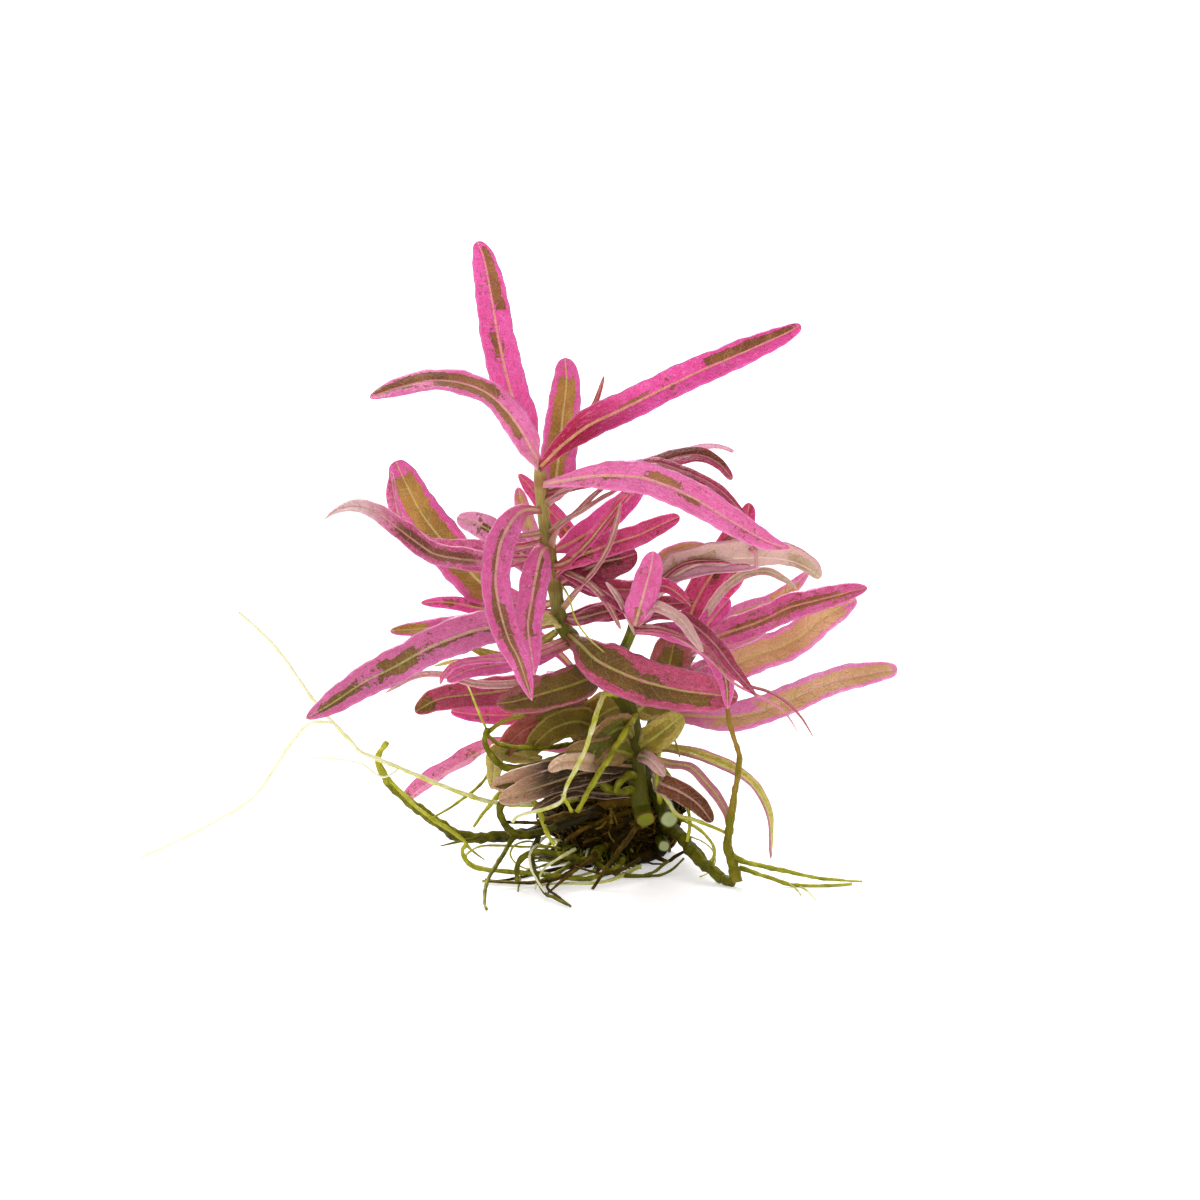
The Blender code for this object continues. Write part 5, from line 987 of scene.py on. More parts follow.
def leaf_skin(leaf, settings):
    """The skin of a leaf. With s the share along it and t from -1 to 1 across it, a point lies at
    path(s) + side * w * t + top * (cup * w * |t|^1.5 + ruffle * w * t^2 * sin(waves) + veins + half
    thickness * sqrt(1 - t^2) above or below), where w is the half width with a slightly uneven margin."""
    number = LEAF_NUMBERS[leaf.name]
    rng = np.random.default_rng(number)
    drawn_length = share_along(curve_through(world(leaf.points)))[1]
    rows = max(MIN_LEAF_ROWS, round(drawn_length / LEAF_ROW_STEP))
    shares = 1 - (1 - np.linspace(0, LAST_SHARE, rows)) ** TIP_CROWDING
    path, sides, tops, length = blade_frames(leaf, shares)
    upper = np.linspace(-1, 1, LEAF_COLUMNS + 1)
    t = np.concatenate([upper, upper[-2:0:-1]])[None, :]
    over = np.concatenate([np.ones(LEAF_COLUMNS + 1), -np.ones(LEAF_COLUMNS - 1)])[None, :]
    s = shares[:, None]
    along = s * length
    half = blade_widths(s, leaf.width, leaf.widening, leaf.point) / 2
    phases = rng.uniform(0, 2 * math.pi, (2, 3))
    margin = 1 + MARGIN_UNEVENNESS * edge_waves(MARGIN_WAVES, along, t, phases) * np.abs(t)
    across = half * t * margin
    rising = smooth_step(s / leaf.widening)
    ruffle = settings.ruffle * leaf.ruffle * half * t**2 * edge_waves(RUFFLE_WAVES, along, t, phases)
    cup = (leaf.cup + leaf.roll * s) * half * np.abs(t) ** CUP_POWER
    vein_phase = (along - VEIN_SLANT * np.abs(across) - VEIN_CURL * across**2) / settings.vein_spacing
    between_veins = np.sqrt(np.abs(np.sin(math.pi * vein_phase)))
    quilt = QUILT_HEIGHT * rising * between_veins * (1 - t**2) * (np.abs(t) > 0)
    groove = np.exp(-(across / RIB_HALF_WIDTH) ** 2) * (half > RIB_HALF_WIDTH)
    rib_height = np.where(over > 0, -GROOVE_DEPTH, -KEEL_DEPTH * (1 - KEEL_TAPER * s)) * groove
    stalk = PETIOLE_THICKNESS / 2 * (1 - rising) + settings.thickness / MM / 2 * rising
    body = np.minimum(stalk, half * ROUNDEST_BODY) * np.sqrt(np.clip(1 - t**2, 0, 1)) * over
    height = cup + ruffle + quilt + rib_height + body
    rings = path[:, None] + sides[:, None] * across[..., None] + tops[:, None] * height[..., None]
    mark = sum(patch_field(s, t, patch) for patch in leaf.patches)
    faded = smooth_step(FADE_STEEPNESS * (s - 1 + leaf.faded) / leaf.faded) if leaf.faded else 0
    base = smooth_step((leaf.base - s) / BASE_FADE)
    values = {
        "leaf_place": spread(along, across, np.abs(t)),
        "leaf_tone": spread(s, number, over < 0),
        "leaf_mark": spread(np.clip(mark, 0, 1), base, faded + 0 * across),
    }
    return closed_skin(rings, [path[0], path[-1] + (path[-1] - path[-2]) * TIP_STEP], values)


def patch_field(s, t, patch):
    """How strongly a brown patch covers each point: 1 well inside the part of the blade from start to end
    on one side of the rib (or both, with side 0), falling to 0 around it."""
    start, end, side, reach = patch
    lengthwise = np.minimum(s - start, end - s) / PATCH_FADE_ALONG + 0.5
    sideways = (reach - np.abs(t)) / PATCH_FADE_ACROSS + 0.5
    right_side = 1.0 if side == 0 else (t * side > 0)
    return np.clip(np.minimum(lengthwise, sideways), 0, 1) * right_side


def round_skin(path, radii, around, tone, number, wobble, ribs=0.0, nodes=(), cut=False):
    """A stem's or root's skin: a circle carried along the path, turned as little as possible. Its radius is
    r(s) * (1 + ribs * cos(4a) + swellings at the nodes + uneven waves), and it stays above the floor."""
    rng = np.random.default_rng(number + TUBE_SEED)
    share, length = share_along(path)
    along = share * length
    tangents = unit(np.gradient(path, axis=0))
    firsts = np.empty_like(path)
    first = unit(np.cross(tangents[0], RING_START))
    for row, tangent in enumerate(tangents):
        first = unit(first - tangent * first.dot(tangent))
        firsts[row] = first
    seconds = np.cross(tangents, firsts)
    angle = np.linspace(0, 2 * math.pi, around, endpoint=False)[None, :]
    node = sum((np.exp(-((along - at * length) / NODE_LENGTH) ** 2) for at in nodes), 0 * along)[:, None]
    phases = rng.uniform(0, 2 * math.pi, len(TUBE_WAVES))
    waves = sum(np.sin(along[:, None] * rate + phase + turn * angle)
                for (rate, turn), phase in zip(TUBE_WAVES, phases))
    radius = radii[:, None] * (1 + ribs * np.cos(4 * angle) + NODE_SWELL * node + wobble * waves)
    centre = path.copy()
    centre[:, 2] = np.maximum(centre[:, 2], radii * FLOOR_LIFT)
    rings = centre[:, None] + radius[..., None] * (
        np.cos(angle)[..., None] * firsts[:, None] + np.sin(angle)[..., None] * seconds[:, None])
    rings[..., 2] = np.maximum(rings[..., 2], FLOOR_CLEARANCE)
    above = np.cos(angle) * firsts[:, None, 2] + np.sin(angle) * seconds[:, None, 2]
    # Painted light: the side of the skin that faces up is given a paler tone
    toned = tone[0] + (tone[1] - tone[0]) * share[:, None] + PAINTED_TOP_LIGHT * above
    values = {
        "tube_place": spread(along[:, None], angle, share[:, None]),
        "tube_tone": spread(toned, node, 0.0),
    }
    if cut:
        rings, values = with_cut_ends(rings, values)
    return closed_skin(rings, [rings[0].mean(0), rings[-1].mean(0)], values)


def with_cut_ends(rings, values):
    """Adds two smaller rings inside each end, so that a cut face has a flat disc with its own colour."""
    def inner(ring, keep):
        middle = ring.mean(0)
        return middle + (ring - middle) * keep

    first, last = rings[0], rings[-1]
    rings = np.concatenate([[inner(first, CUT_DISC), inner(first, CUT_RIM)], rings,
                            [inner(last, CUT_RIM), inner(last, CUT_DISC)]])
    grown = {name: np.concatenate([value[:1], value[:1], value, value[-1:], value[-1:]])
             for name, value in values.items()}
    grown["tube_tone"][[0, -1], :, 2] = 1.0
    grown["tube_tone"][[1, -2], :, 2] = CUT_RIM_MARK
    return rings, grown


# Materials


def linear(colour):
    """A 0 to 255 sRGB colour as linear RGBA."""
    share = np.array(colour, float) / 255
    low = share / 12.92
    high = ((share + 0.055) / 1.055) ** 2.4
    return (*np.where(share <= 0.04045, low, high), 1.0)


class Net:
    """Writes a node tree as nested calls. Each call adds a node and gives back one of its outputs."""

    def __init__(self, tree):
        self.tree = tree

    def fill(self, node, values):
        """Links the sockets among the values to the node's inputs, and sets the others on them."""
        for key, value in values.items():
            if isinstance(value, bpy.types.NodeSocket):
                self.tree.links.new(value, node.inputs[key])
            else:
                node.inputs[key].default_value = value

    def add(self, kind, values=None, output=0, **settings):
        node = self.tree.nodes.new(kind)
        for key, value in settings.items():
            setattr(node, key, value)
        self.fill(node, values or {})
        return node.outputs[output]

    def math(self, operation, *values):
        return self.add("ShaderNodeMath", dict(enumerate(values)), operation=operation)

    def times(self, value, factor):
        return self.math("MULTIPLY", value, factor)

    def plus(self, value, *others):
        for other in others:
            value = self.math("ADD", value, other)
        return value

    def minus(self, value, *others):
        for other in others:
            value = self.math("SUBTRACT", value, other)
        return value

    def swing(self, value, size):
        """How far a value from 0 to 1 lies from its middle, times a size."""
        return self.times(self.minus(value, 0.5), size)

    def vector(self, x, y, z):
        return self.add("ShaderNodeCombineXYZ", {"X": x, "Y": y, "Z": z})

    def parts(self, name):
        """The three numbers of a mesh attribute."""
        vector = self.add("ShaderNodeAttribute", output="Vector", attribute_name=name)
        return self.add("ShaderNodeSeparateXYZ", {0: vector}).node.outputs

    def noise(self, place, scale, detail=2.0, roughness=0.5):
        return self.add("ShaderNodeTexNoise",
                        {"Vector": place, "Scale": scale, "Detail": detail, "Roughness": roughness})

    def chance(self, x, y, z):
        """A random number from 0 to 1, the same wherever x, y and z are the same."""
        return self.add("ShaderNodeTexWhiteNoise", {"Vector": self.vector(x, y, z)}, output="Value")

    def step(self, value, low, high, at_low=0.0, at_high=1.0):
        return self.add("ShaderNodeMapRange", {
            "Value": value, "From Min": low, "From Max": high, "To Min": at_low, "To Max": at_high})

    def fade(self, value, low, high):
        return self.step(value, low, high, 1.0, 0.0)

    def layers(self, colour, *layers):
        """A colour with others mixed over it in turn, each by its own amount from 0 to 1."""
        for amount, over in layers:
            colour = self.add("ShaderNodeMix", {0: amount, 6: colour, 7: over}, output=2, data_type="RGBA")
        return colour


def new_group(name, colours, numbers=()):
    """A shader node group that turns colours and numbers into a colour, a height and a roughness. The
    outputs of its input node come back in the given order."""
    group = bpy.data.node_groups.new(name, "ShaderNodeTree")
    kinds = ["NodeSocketColor"] * len(colours) + ["NodeSocketFloat"] * len(numbers)
    for key, kind in zip((*colours, *numbers), kinds):
        group.interface.new_socket(name=key, in_out="INPUT", socket_type=kind)
    for key, kind in zip(GROUP_RESULTS, ("NodeSocketColor", "NodeSocketFloat", "NodeSocketFloat")):
        group.interface.new_socket(name=key, in_out="OUTPUT", socket_type=kind)
    source = group.nodes.new("NodeGroupInput")
    return Net(group), [source.outputs[key] for key in (*colours, *numbers)]


def finished_group(net, *results):
    net.fill(net.tree.nodes.new("NodeGroupOutput"), dict(zip(GROUP_RESULTS, results)))
    return net.tree


def blade_group():
    """The markings of a blade, in millimetres along and across it: slanting side veins, brown patches that
    end at veins, specks in clusters, a pale rib, a paler underside, and painted light: shade beside the rib,
    pale glint lines along folds and a highlight along the margin."""
    net, given = new_group("blade_markings", BLADE_COLOURS, ("Specks", "Patches", "Vein Spacing"))
    # margin is the Pale And Glint colour: pale mottles and the vein net, and painted light: glints along the
    # folds and a highlight along the margin
    (blade, deep, base_tone, patch_tone, patch_deep, rib_tone, margin, under_tone,
     specks, patches, spacing) = given
    along, across, edge = net.parts("leaf_place")
    share, number, under = net.parts("leaf_tone")
    mark, base, faded = net.parts("leaf_mark")
    offset = net.times(number, 7.3)
    place = net.vector(along, across, offset)
    far_place = net.vector(across, along, net.plus(offset, 40.0))
    coarse = net.noise(place, 0.16, 2.0)
    middle = net.noise(place, 0.55, 3.0, 0.6)
    fine = net.noise(place, 2.6, 3.0, 0.6)
    grain = net.noise(place, 9.0, 2.0, 0.6)
    mottle = net.noise(far_place, 1.1, 3.0, 0.6)
    cluster = net.noise(far_place, 0.22, 1.0)
    speck = net.noise(far_place, 1.5, 2.0, 0.55)
    streak = net.noise(net.vector(net.times(along, 0.25), across, offset), 2.4, 2.0, 0.6)
    # Painted highlight: thin pale lines along the blade, where a slow noise crosses its middle value,
    # standing in for glints on the folds
    fold = net.noise(net.vector(net.times(along, 0.10), across, net.plus(offset, 9.0)), 2.9, 1.0)
    crease_glint = net.fade(net.math("ABSOLUTE", net.minus(fold, 0.5)), 0.004, 0.02)
    cells = net.add("ShaderNodeTexVoronoi", {"Vector": place, "Scale": 1.5}, output="Distance",
                    feature="DISTANCE_TO_EDGE")
    mesh = net.fade(cells, 0.02, 0.10)

    # Side veins curve toward the tip, and each strip between two of them has a chance of its own
    outward = net.math("ABSOLUTE", across)
    curving = net.plus(net.times(outward, VEIN_SLANT), net.times(net.math("POWER", outward, 2.0), VEIN_CURL))
    phase = net.math("DIVIDE", net.minus(net.plus(along, net.times(middle, 0.9)), curving), spacing)
    from_vein = net.minus(0.5, net.math("ABSOLUTE", net.minus(net.math("FRACT", phase), 0.5)))
    vein = net.times(net.fade(net.times(from_vein, spacing), 0.02, 0.10), net.fade(edge, 0.5, 0.9))
    chance = net.chance(net.math("FLOOR", phase), net.math("SIGN", across), number)
    own = net.chance(number, number, 0.5)

    # Brown patches and specks
    strength = net.plus(mark, net.swing(chance, 0.26), net.swing(middle, 0.9), net.swing(fine, 0.55))
    patch = net.times(net.step(strength, 0.48, 0.53), patches)
    outline = net.times(patch, net.step(strength, 0.53, 0.64, 0.75, 0.0))
    speckle = net.plus(net.times(speck, 0.75), net.times(cluster, 0.45), net.times(mark, 0.10))
    threshold = net.minus(0.785, net.times(specks, 0.095))
    speckle = net.times(net.step(net.minus(speckle, threshold), 0.0, 0.02), net.fade(edge, 0.72, 0.9))
    brown = net.math("MAXIMUM", patch, net.times(speckle, 0.85))

    from_rib = net.minus(outward, net.step(share, 0.0, 1.0, 0.22, 0.05))
    rib = net.times(net.fade(from_rib, -0.03, 0.07), net.step(middle, 0.3, 0.6, 0.55, 0.85))
    # Painted shade: a darker band either side of the rib, where its groove lies, strongest near the stalk
    rib_groove_shade = net.times(net.fade(from_rib, 0.05, 0.5), net.step(share, 0.1, 0.8, 0.55, 0.15))
    blade = net.layers(
        blade,
        (net.step(coarse, 0.35, 0.68), deep),
        (net.step(mottle, 0.50, 0.72, 0.0, 0.5), deep),
        (net.step(mottle, 0.46, 0.28, 0.0, 0.5), margin),
        (net.step(fine, 0.42, 0.60, 0.0, 0.55), deep),
        (net.step(grain, 0.55, 0.68, 0.0, 0.6), margin),
        (net.step(grain, 0.44, 0.32, 0.0, 0.45), deep),
        (net.step(streak, 0.52, 0.70, 0.0, 0.6), deep),
        (net.times(own, 0.2), deep),
        # painted shade beside the rib
        (rib_groove_shade, deep),
        (net.times(mesh, 0.10), margin),
        # the base colour; on the mauve leaves it is near-black painted shade
        (base, base_tone),
        (net.times(faded, 0.8), under_tone),
        # painted glints along the folds
        (net.times(crease_glint, 0.28), margin),
        (net.times(under, 0.55), under_tone),
        # painted highlight along the margin
        (net.step(edge, 0.86, 0.99, 0.0, 0.35), margin))
    patch_colour = net.layers(
        patch_tone,
        (net.step(coarse, 0.4, 0.62), patch_deep),
        (net.step(grain, 0.42, 0.66, 0.0, 0.65), patch_deep),
        (net.times(mesh, 0.13), rib_tone),
        (outline, patch_deep))
    veining = net.times(vein, net.step(brown, 0.0, 1.0, 0.16, 0.32))
    colour = net.layers(blade, (brown, patch_colour), (veining, rib_tone), (rib, rib_tone))
    height = net.minus(net.plus(net.times(fine, 0.5), net.times(grain, 0.35), net.times(streak, 0.6)),
                       net.times(vein, 0.35), net.times(mesh, 0.2))
    roughness = net.step(net.plus(fine, net.times(brown, 0.3)), 0.2, 1.1, 0.28, 0.55)
    return finished_group(net, colour, height, roughness)


def stalk_group():
    """The skin of a stem: fine streaks along it, darker swollen nodes, and a pale ringed disc where it is
    cut."""
    net, (young, old, node_tone, cut_tone) = new_group("stalk_skin", STALK_COLOURS)
    along, angle, _ = net.parts("tube_place")
    tone, node, cut = net.parts("tube_tone")
    sine, cosine = net.math("SINE", angle), net.math("COSINE", angle)
    round_about = net.vector(net.times(sine, 3.0), net.times(cosine, 3.0), net.times(along, 0.22))
    streak = net.noise(round_about, 2.2, 3.0, 0.6)
    blotch = net.noise(net.vector(along, sine, tone), 0.45, 2.0)
    grain = net.noise(net.vector(along, sine, cosine), 6.0, 2.0)
    joint = net.layers(old, (net.step(tone, 0.4, 0.7), node_tone))
    colour = net.layers(
        old,
        # The tone carries painted light, so a stem's upper side leans to the young colour
        (net.step(net.plus(tone, net.swing(blotch, 0.7)), 0.1, 0.9), young),
        (net.step(streak, 0.48, 0.72, 0.0, 0.6), old),
        (net.step(streak, 0.42, 0.30, 0.0, 0.35), cut_tone),
        (net.times(net.step(node, 0.25, 0.85), 0.75), joint),
        (net.step(cut, 0.75, 0.9), cut_tone),
        (net.times(net.step(cut, 0.3, 0.6), net.step(cut, 0.9, 0.65)), node_tone))
    height = net.plus(streak, net.times(grain, 0.3))
    return finished_group(net, colour, height, net.step(grain, 0.2, 0.8, 0.36, 0.55))


def root_group():
    """The skin of a root, from dark olive to cream by its tone, with patches and grain."""
    net, (dark, olive, light, cream) = new_group("root_skin", ROOT_COLOURS)
    along, angle, _ = net.parts("tube_place")
    tone = net.parts("tube_tone")[0]
    sine, cosine = net.math("SINE", angle), net.math("COSINE", angle)
    place = net.vector(along, net.times(sine, 0.6), net.times(cosine, 0.6))
    blotch = net.noise(place, 0.5, 3.0, 0.6)
    grain = net.noise(place, 5.0, 2.0, 0.6)
    # The tone carries painted light, so a root's upper side is paler
    lit = net.plus(tone, net.swing(blotch, 0.8), net.swing(grain, 0.35))
    colour = net.layers(dark, (net.step(lit, 0.0, 0.35), olive), (net.step(lit, 0.35, 0.7), light),
                        (net.step(lit, 0.7, 1.0), cream))
    height = net.plus(blotch, net.times(grain, 0.5))
    return finished_group(net, colour, height, net.step(grain, 0.2, 0.8, 0.38, 0.6))


def blank_material(name):
    """A new material, with its node net and its Principled shader."""
    material = bpy.data.materials.new(name)
    material.use_nodes = True
    net = Net(material.node_tree)
    return material, net, net.tree.nodes["Principled BSDF"]


def new_material(name, group, values, shine, bump=TUBE_BUMP, soft=TUBE_SOFTNESS, soft_radius=TUBE_SOFT_RADIUS,
                 coat=0.0):
    """A Principled material whose colour, roughness and relief come from a node group."""
    material, net, shader = blank_material(name)
    skin = net.add("ShaderNodeGroup", node_tree=group).node
    net.fill(skin, values)
    relief = {"Strength": bump, "Distance": BUMP_DISTANCE, "Height": skin.outputs["Height"]}
    net.fill(shader, {
        "Base Color": skin.outputs["Color"],
        "Roughness": skin.outputs["Roughness"],
        "Normal": net.add("ShaderNodeBump", relief),
        "Subsurface Weight": soft,
        "Subsurface Radius": soft_radius,
        "Subsurface Scale": SOFT_SCALE,
        "Specular IOR Level": shine,
        "Coat Weight": coat,
        "Coat Roughness": COAT_ROUGHNESS,
    })
    material.diffuse_color = next(iter(values.values()))


def leaf_material(name):
    """A leaf finish's material, made once."""
    made = name + "_blade"
    if made not in bpy.data.materials:
        settings = bpy.context.scene.plant_leaves
        finish = LEAF_FINISHES[name]
        values = dict(zip(BLADE_COLOURS, map(linear, finish.colours)))
        if name == "hot_pink":
            values["Blade"] = (*settings.pink, 1.0)
        values["Specks"] = finish.specks
        values["Patches"] = settings.patches
        values["Vein Spacing"] = settings.vein_spacing
        group = bpy.data.node_groups.get("blade_markings") or blade_group()
        new_material(made, group, values, LEAF_SHINE, LEAF_BUMP, settings.translucency, LEAF_SOFT_RADIUS,
                     LEAF_COAT)
    return bpy.data.materials[made]


def stem_material(name):
    """A stem finish's material, made once."""
    if name not in bpy.data.materials:
        group = bpy.data.node_groups.get("stalk_skin") or stalk_group()
        new_material(name, group, dict(zip(STALK_COLOURS, map(linear, STEM_FINISHES[name]))), TUBE_SHINE)
    return bpy.data.materials[name]


def root_material(finish):
    """A root finish's material, made once. The green and the pale roots share theirs."""
    name = "root_" + finish if finish in ROOT_FINISHES else "root_green"
    if name not in bpy.data.materials:
        settings = bpy.context.scene.plant_roots
        greens = [(*tone, 1.0) for tone in (settings.dark, settings.olive, settings.light)]
        colours, shine = greens + [linear(PALEST_ROOT)], TUBE_SHINE
        if finish in ROOT_FINISHES:
            tones, shine = ROOT_FINISHES[finish]
            colours = map(linear, tones)
        group = bpy.data.node_groups.get("root_skin") or root_group()
        new_material(name, group, dict(zip(ROOT_COLOURS, colours)), shine)
    return bpy.data.materials[name]


def plug_material():
    """Dark packed root mass: brown-black hollows, olive and tan ridges."""
    material, net, shader = blank_material("plug_mass")
    place = net.add("ShaderNodeTexCoord", output="Object")
    blotch = net.noise(place, 260.0, 4.0, 0.6)
    grain = net.noise(place, 1400.0, 3.0, 0.6)
    cells = net.add("ShaderNodeTexVoronoi", {"Vector": place, "Scale": 900.0}, output="Distance")
    hollow, middle, ridge = map(linear, PLUG_TONES[:3])
    height = net.plus(grain, net.times(cells, 0.6))
    relief = {"Strength": 0.7, "Distance": BUMP_DISTANCE * 2, "Height": height}
    net.fill(shader, {
        "Base Color": net.layers(hollow, (net.step(blotch, 0.38, 0.66), middle),
                                 (net.step(grain, 0.55, 0.75, 0.0, 0.7), ridge)),
        "Roughness": net.step(grain, 0.2, 0.8, 0.5, 0.85),
        "Normal": net.add("ShaderNodeBump", relief),
        "Specular IOR Level": 0.04,
    })
    return material


# Settings


class PlantLeafSettings(bpy.types.PropertyGroup):
    """Sizes and colours of the leaves."""

    thickness: bpy.props.FloatProperty(
        name="Blade Thickness", description="Thickness of a blade beside its rib",
        default=0.0004, min=0.0001, max=0.002, precision=5, unit="LENGTH", subtype="DISTANCE")
    vein_spacing: bpy.props.FloatProperty(
        name="Vein Spacing", description="Distance between side veins along the rib, in millimetres",
        default=2.3, min=0.5, max=10)
    ruffle: bpy.props.FloatProperty(
        name="Ruffle", description="How high the margins wave, as a share of the half width",
        default=0.07, min=0, max=0.5, subtype="FACTOR")
    translucency: bpy.props.FloatProperty(
        name="Translucency", description="How much light spreads inside a blade",
        default=0.15, min=0, max=1, subtype="FACTOR")
    patches: bpy.props.FloatProperty(
        name="Brown Patches", description="How strongly the brown patches show",
        default=1.0, min=0, max=1, subtype="FACTOR")
    pink: bpy.props.FloatVectorProperty(
        name="Pink", description="Colour of the brightest blades", subtype="COLOR", size=3,
        default=linear((246, 100, 188))[:3], min=0, max=1)


class PlantRootSettings(bpy.types.PropertyGroup):
    """Sizes and colours of the roots and their plug."""

    fibre_count: bpy.props.IntProperty(
        name="Plug Fibres", description="Number of fine roots wound over the plug",
        default=FIBRE_COUNT, min=0)
    dark: bpy.props.FloatVectorProperty(
        name="Dark", description="Colour of the darkest roots", subtype="COLOR", size=3,
        default=linear((38, 31, 0))[:3], min=0, max=1)
    olive: bpy.props.FloatVectorProperty(
        name="Olive", description="Colour of the middling roots", subtype="COLOR", size=3,
        default=linear((104, 102, 2))[:3], min=0, max=1)
    light: bpy.props.FloatVectorProperty(
        name="Light", description="Colour of the young roots", subtype="COLOR", size=3,
        default=linear((186, 184, 54))[:3], min=0, max=1)


class PlantStageSettings(bpy.types.PropertyGroup):
    """The floor, light and camera."""

    floor_colour: bpy.props.FloatVectorProperty(
        name="Floor", description="Colour of the floor", subtype="COLOR", size=3,
        default=(0.92, 0.92, 0.92), min=0, max=1)
    floor_glow: bpy.props.FloatProperty(
        name="Floor Glow", description="Light given off by the floor itself", default=0.4, min=0)
    sky: bpy.props.FloatProperty(
        name="Room Light", description="Strength of the light from all around", default=0.8, min=0)
    lamp: bpy.props.FloatProperty(
        name="Lamp", description="Strength of the large soft lamp", default=3.9, min=0)
    frame_width: bpy.props.FloatProperty(
        name="Frame Width", description="Width of the picture where the plant stands",
        default=0.168, min=0.01, unit="LENGTH", subtype="DISTANCE")
    camera_distance: bpy.props.FloatProperty(
        name="Camera Distance", description="Distance from the camera to the plant",
        default=2.0, min=0.2, unit="LENGTH", subtype="DISTANCE")


# Operators


def add_leaves(leaves):
    """One piece per leaf, each standing for its own solid."""
    settings = bpy.context.scene.plant_leaves
    for leaf in leaves:
        skin = leaf_skin(leaf, settings)
        add_piece(leaf.name + "_blade", skin, leaf_material(leaf.finish), [leaf.name])


def tube_skin(tube, number, around=ROOT_AROUND, row_step=ROOT_ROW_STEP, wobble=ROOT_WOBBLE, **shape):
    """The skin of one stem or root, along its curve and with its own growth."""
    curve = grown_curve(tube.points, tube.parent)
    share = np.linspace(0, 1, max(MIN_TUBE_ROWS, round(share_along(curve)[1] / row_step)))
    radii = radii_along(tube, share) * np.interp(share, GROWTH_SHARES, tube.growth)
    return round_skin(points_at(curve, share), radii, around, tube.tones, number, wobble, **shape)


class PLANT_OT_stems(bpy.types.Operator):
    """Builds the stems and side shoots with their swollen nodes and cut ends"""

    bl_idname = "plant.stems"
    bl_label = "Stems"

    def execute(self, context):
        for number, tube in enumerate(STEMS):
            skin = tube_skin(tube, number, STEM_AROUND, STEM_ROW_STEP, STEM_WOBBLE,
                             ribs=STEM_RIBS, nodes=tube.nodes, cut=True)
            add_piece(tube.name + "_skin", skin, stem_material(tube.finish), [tube.name])
        return {"FINISHED"}


class PLANT_OT_plug(bpy.types.Operator):
    """Builds the dark root plug and the fine roots wound over it"""

    bl_idname = "plant.plug"
    bl_label = "Root Plug"

    def execute(self, context):
        add_piece("root_plug_mass", plug_skin(), plug_material(), ["root_plug"])
        count = context.scene.plant_roots.fibre_count
        if count:
            add_piece("plug_fibres", fibre_skin(count), root_material("brown"))
        add_piece("plug_mat", mat_skin(), root_material("green"))
        return {"FINISHED"}


class PLANT_OT_roots(bpy.types.Operator):
    """Builds the long roots, each in place of its solid"""

    bl_idname = "plant.roots"
    bl_label = "Roots"

    def execute(self, context):
        for number, tube in enumerate(ROOTS):
            skin = tube_skin(tube, number)
            add_piece(tube.name + "_skin", skin, root_material(tube.finish), [tube.name])
        return {"FINISHED"}


class PLANT_OT_small_roots(bpy.types.Operator):
    """Builds the short and thin roots, the green ones as one piece and the brown ones as another"""

    bl_idname = "plant.small_roots"
    bl_label = "Small Roots"

    def execute(self, context):
        for name, finish, slot in (
                ("small_roots", "green", "root_olive"), ("brown_roots", "brown", "root_mass")):
            skins = [tube_skin(tube, number) for number, tube in enumerate(SMALL_ROOTS, SMALL_ROOT_NUMBER)
                     if tube.finish == finish]
            add_piece(name, joined(skins), root_material(finish))
        return {"FINISHED"}


class PLANT_OT_crown_leaves(bpy.types.Operator):
    """Builds the four bright leaves of the crown"""

    bl_idname = "plant.crown_leaves"
    bl_label = "Crown Leaves"

    def execute(self, context):
        add_leaves(CROWN_LEAVES)
        return {"FINISHED"}


class PLANT_OT_right_leaves(bpy.types.Operator):
    """Builds the leaves on the right, from the stem and the middle and right shoots"""

    bl_idname = "plant.right_leaves"
    bl_label = "Right Leaves"

    def execute(self, context):
        add_leaves(UPPER_RIGHT_LEAVES + MIDDLE_SHOOT_LEAVES + RIGHT_SHOOT_LEAVES)
        return {"FINISHED"}


class PLANT_OT_left_leaves(bpy.types.Operator):
    """Builds the leaves on the left"""

    bl_idname = "plant.left_leaves"
    bl_label = "Left Leaves"

    def execute(self, context):
        add_leaves(LEFT_LEAVES)
        return {"FINISHED"}


class PLANT_OT_front_leaves(bpy.types.Operator):
    """Builds the drooping and broad leaves in front"""

    bl_idname = "plant.front_leaves"
    bl_label = "Front Leaves"

    def execute(self, context):
        add_leaves(FRONT_LEAVES)
        return {"FINISHED"}


class PLANT_OT_small_leaves(bpy.types.Operator):
    """Builds the small leaves and bare stalks, joined by finish"""

    bl_idname = "plant.small_leaves"
    bl_label = "Small Leaves"

    def execute(self, context):
        skins = {}
        for leaf in SMALL_LEAVES:
            skins.setdefault(leaf.finish, []).append(leaf_skin(leaf, context.scene.plant_leaves))
        for finish, parts in skins.items():
            add_piece("small_" + finish, joined(parts), leaf_material(finish))
        return {"FINISHED"}


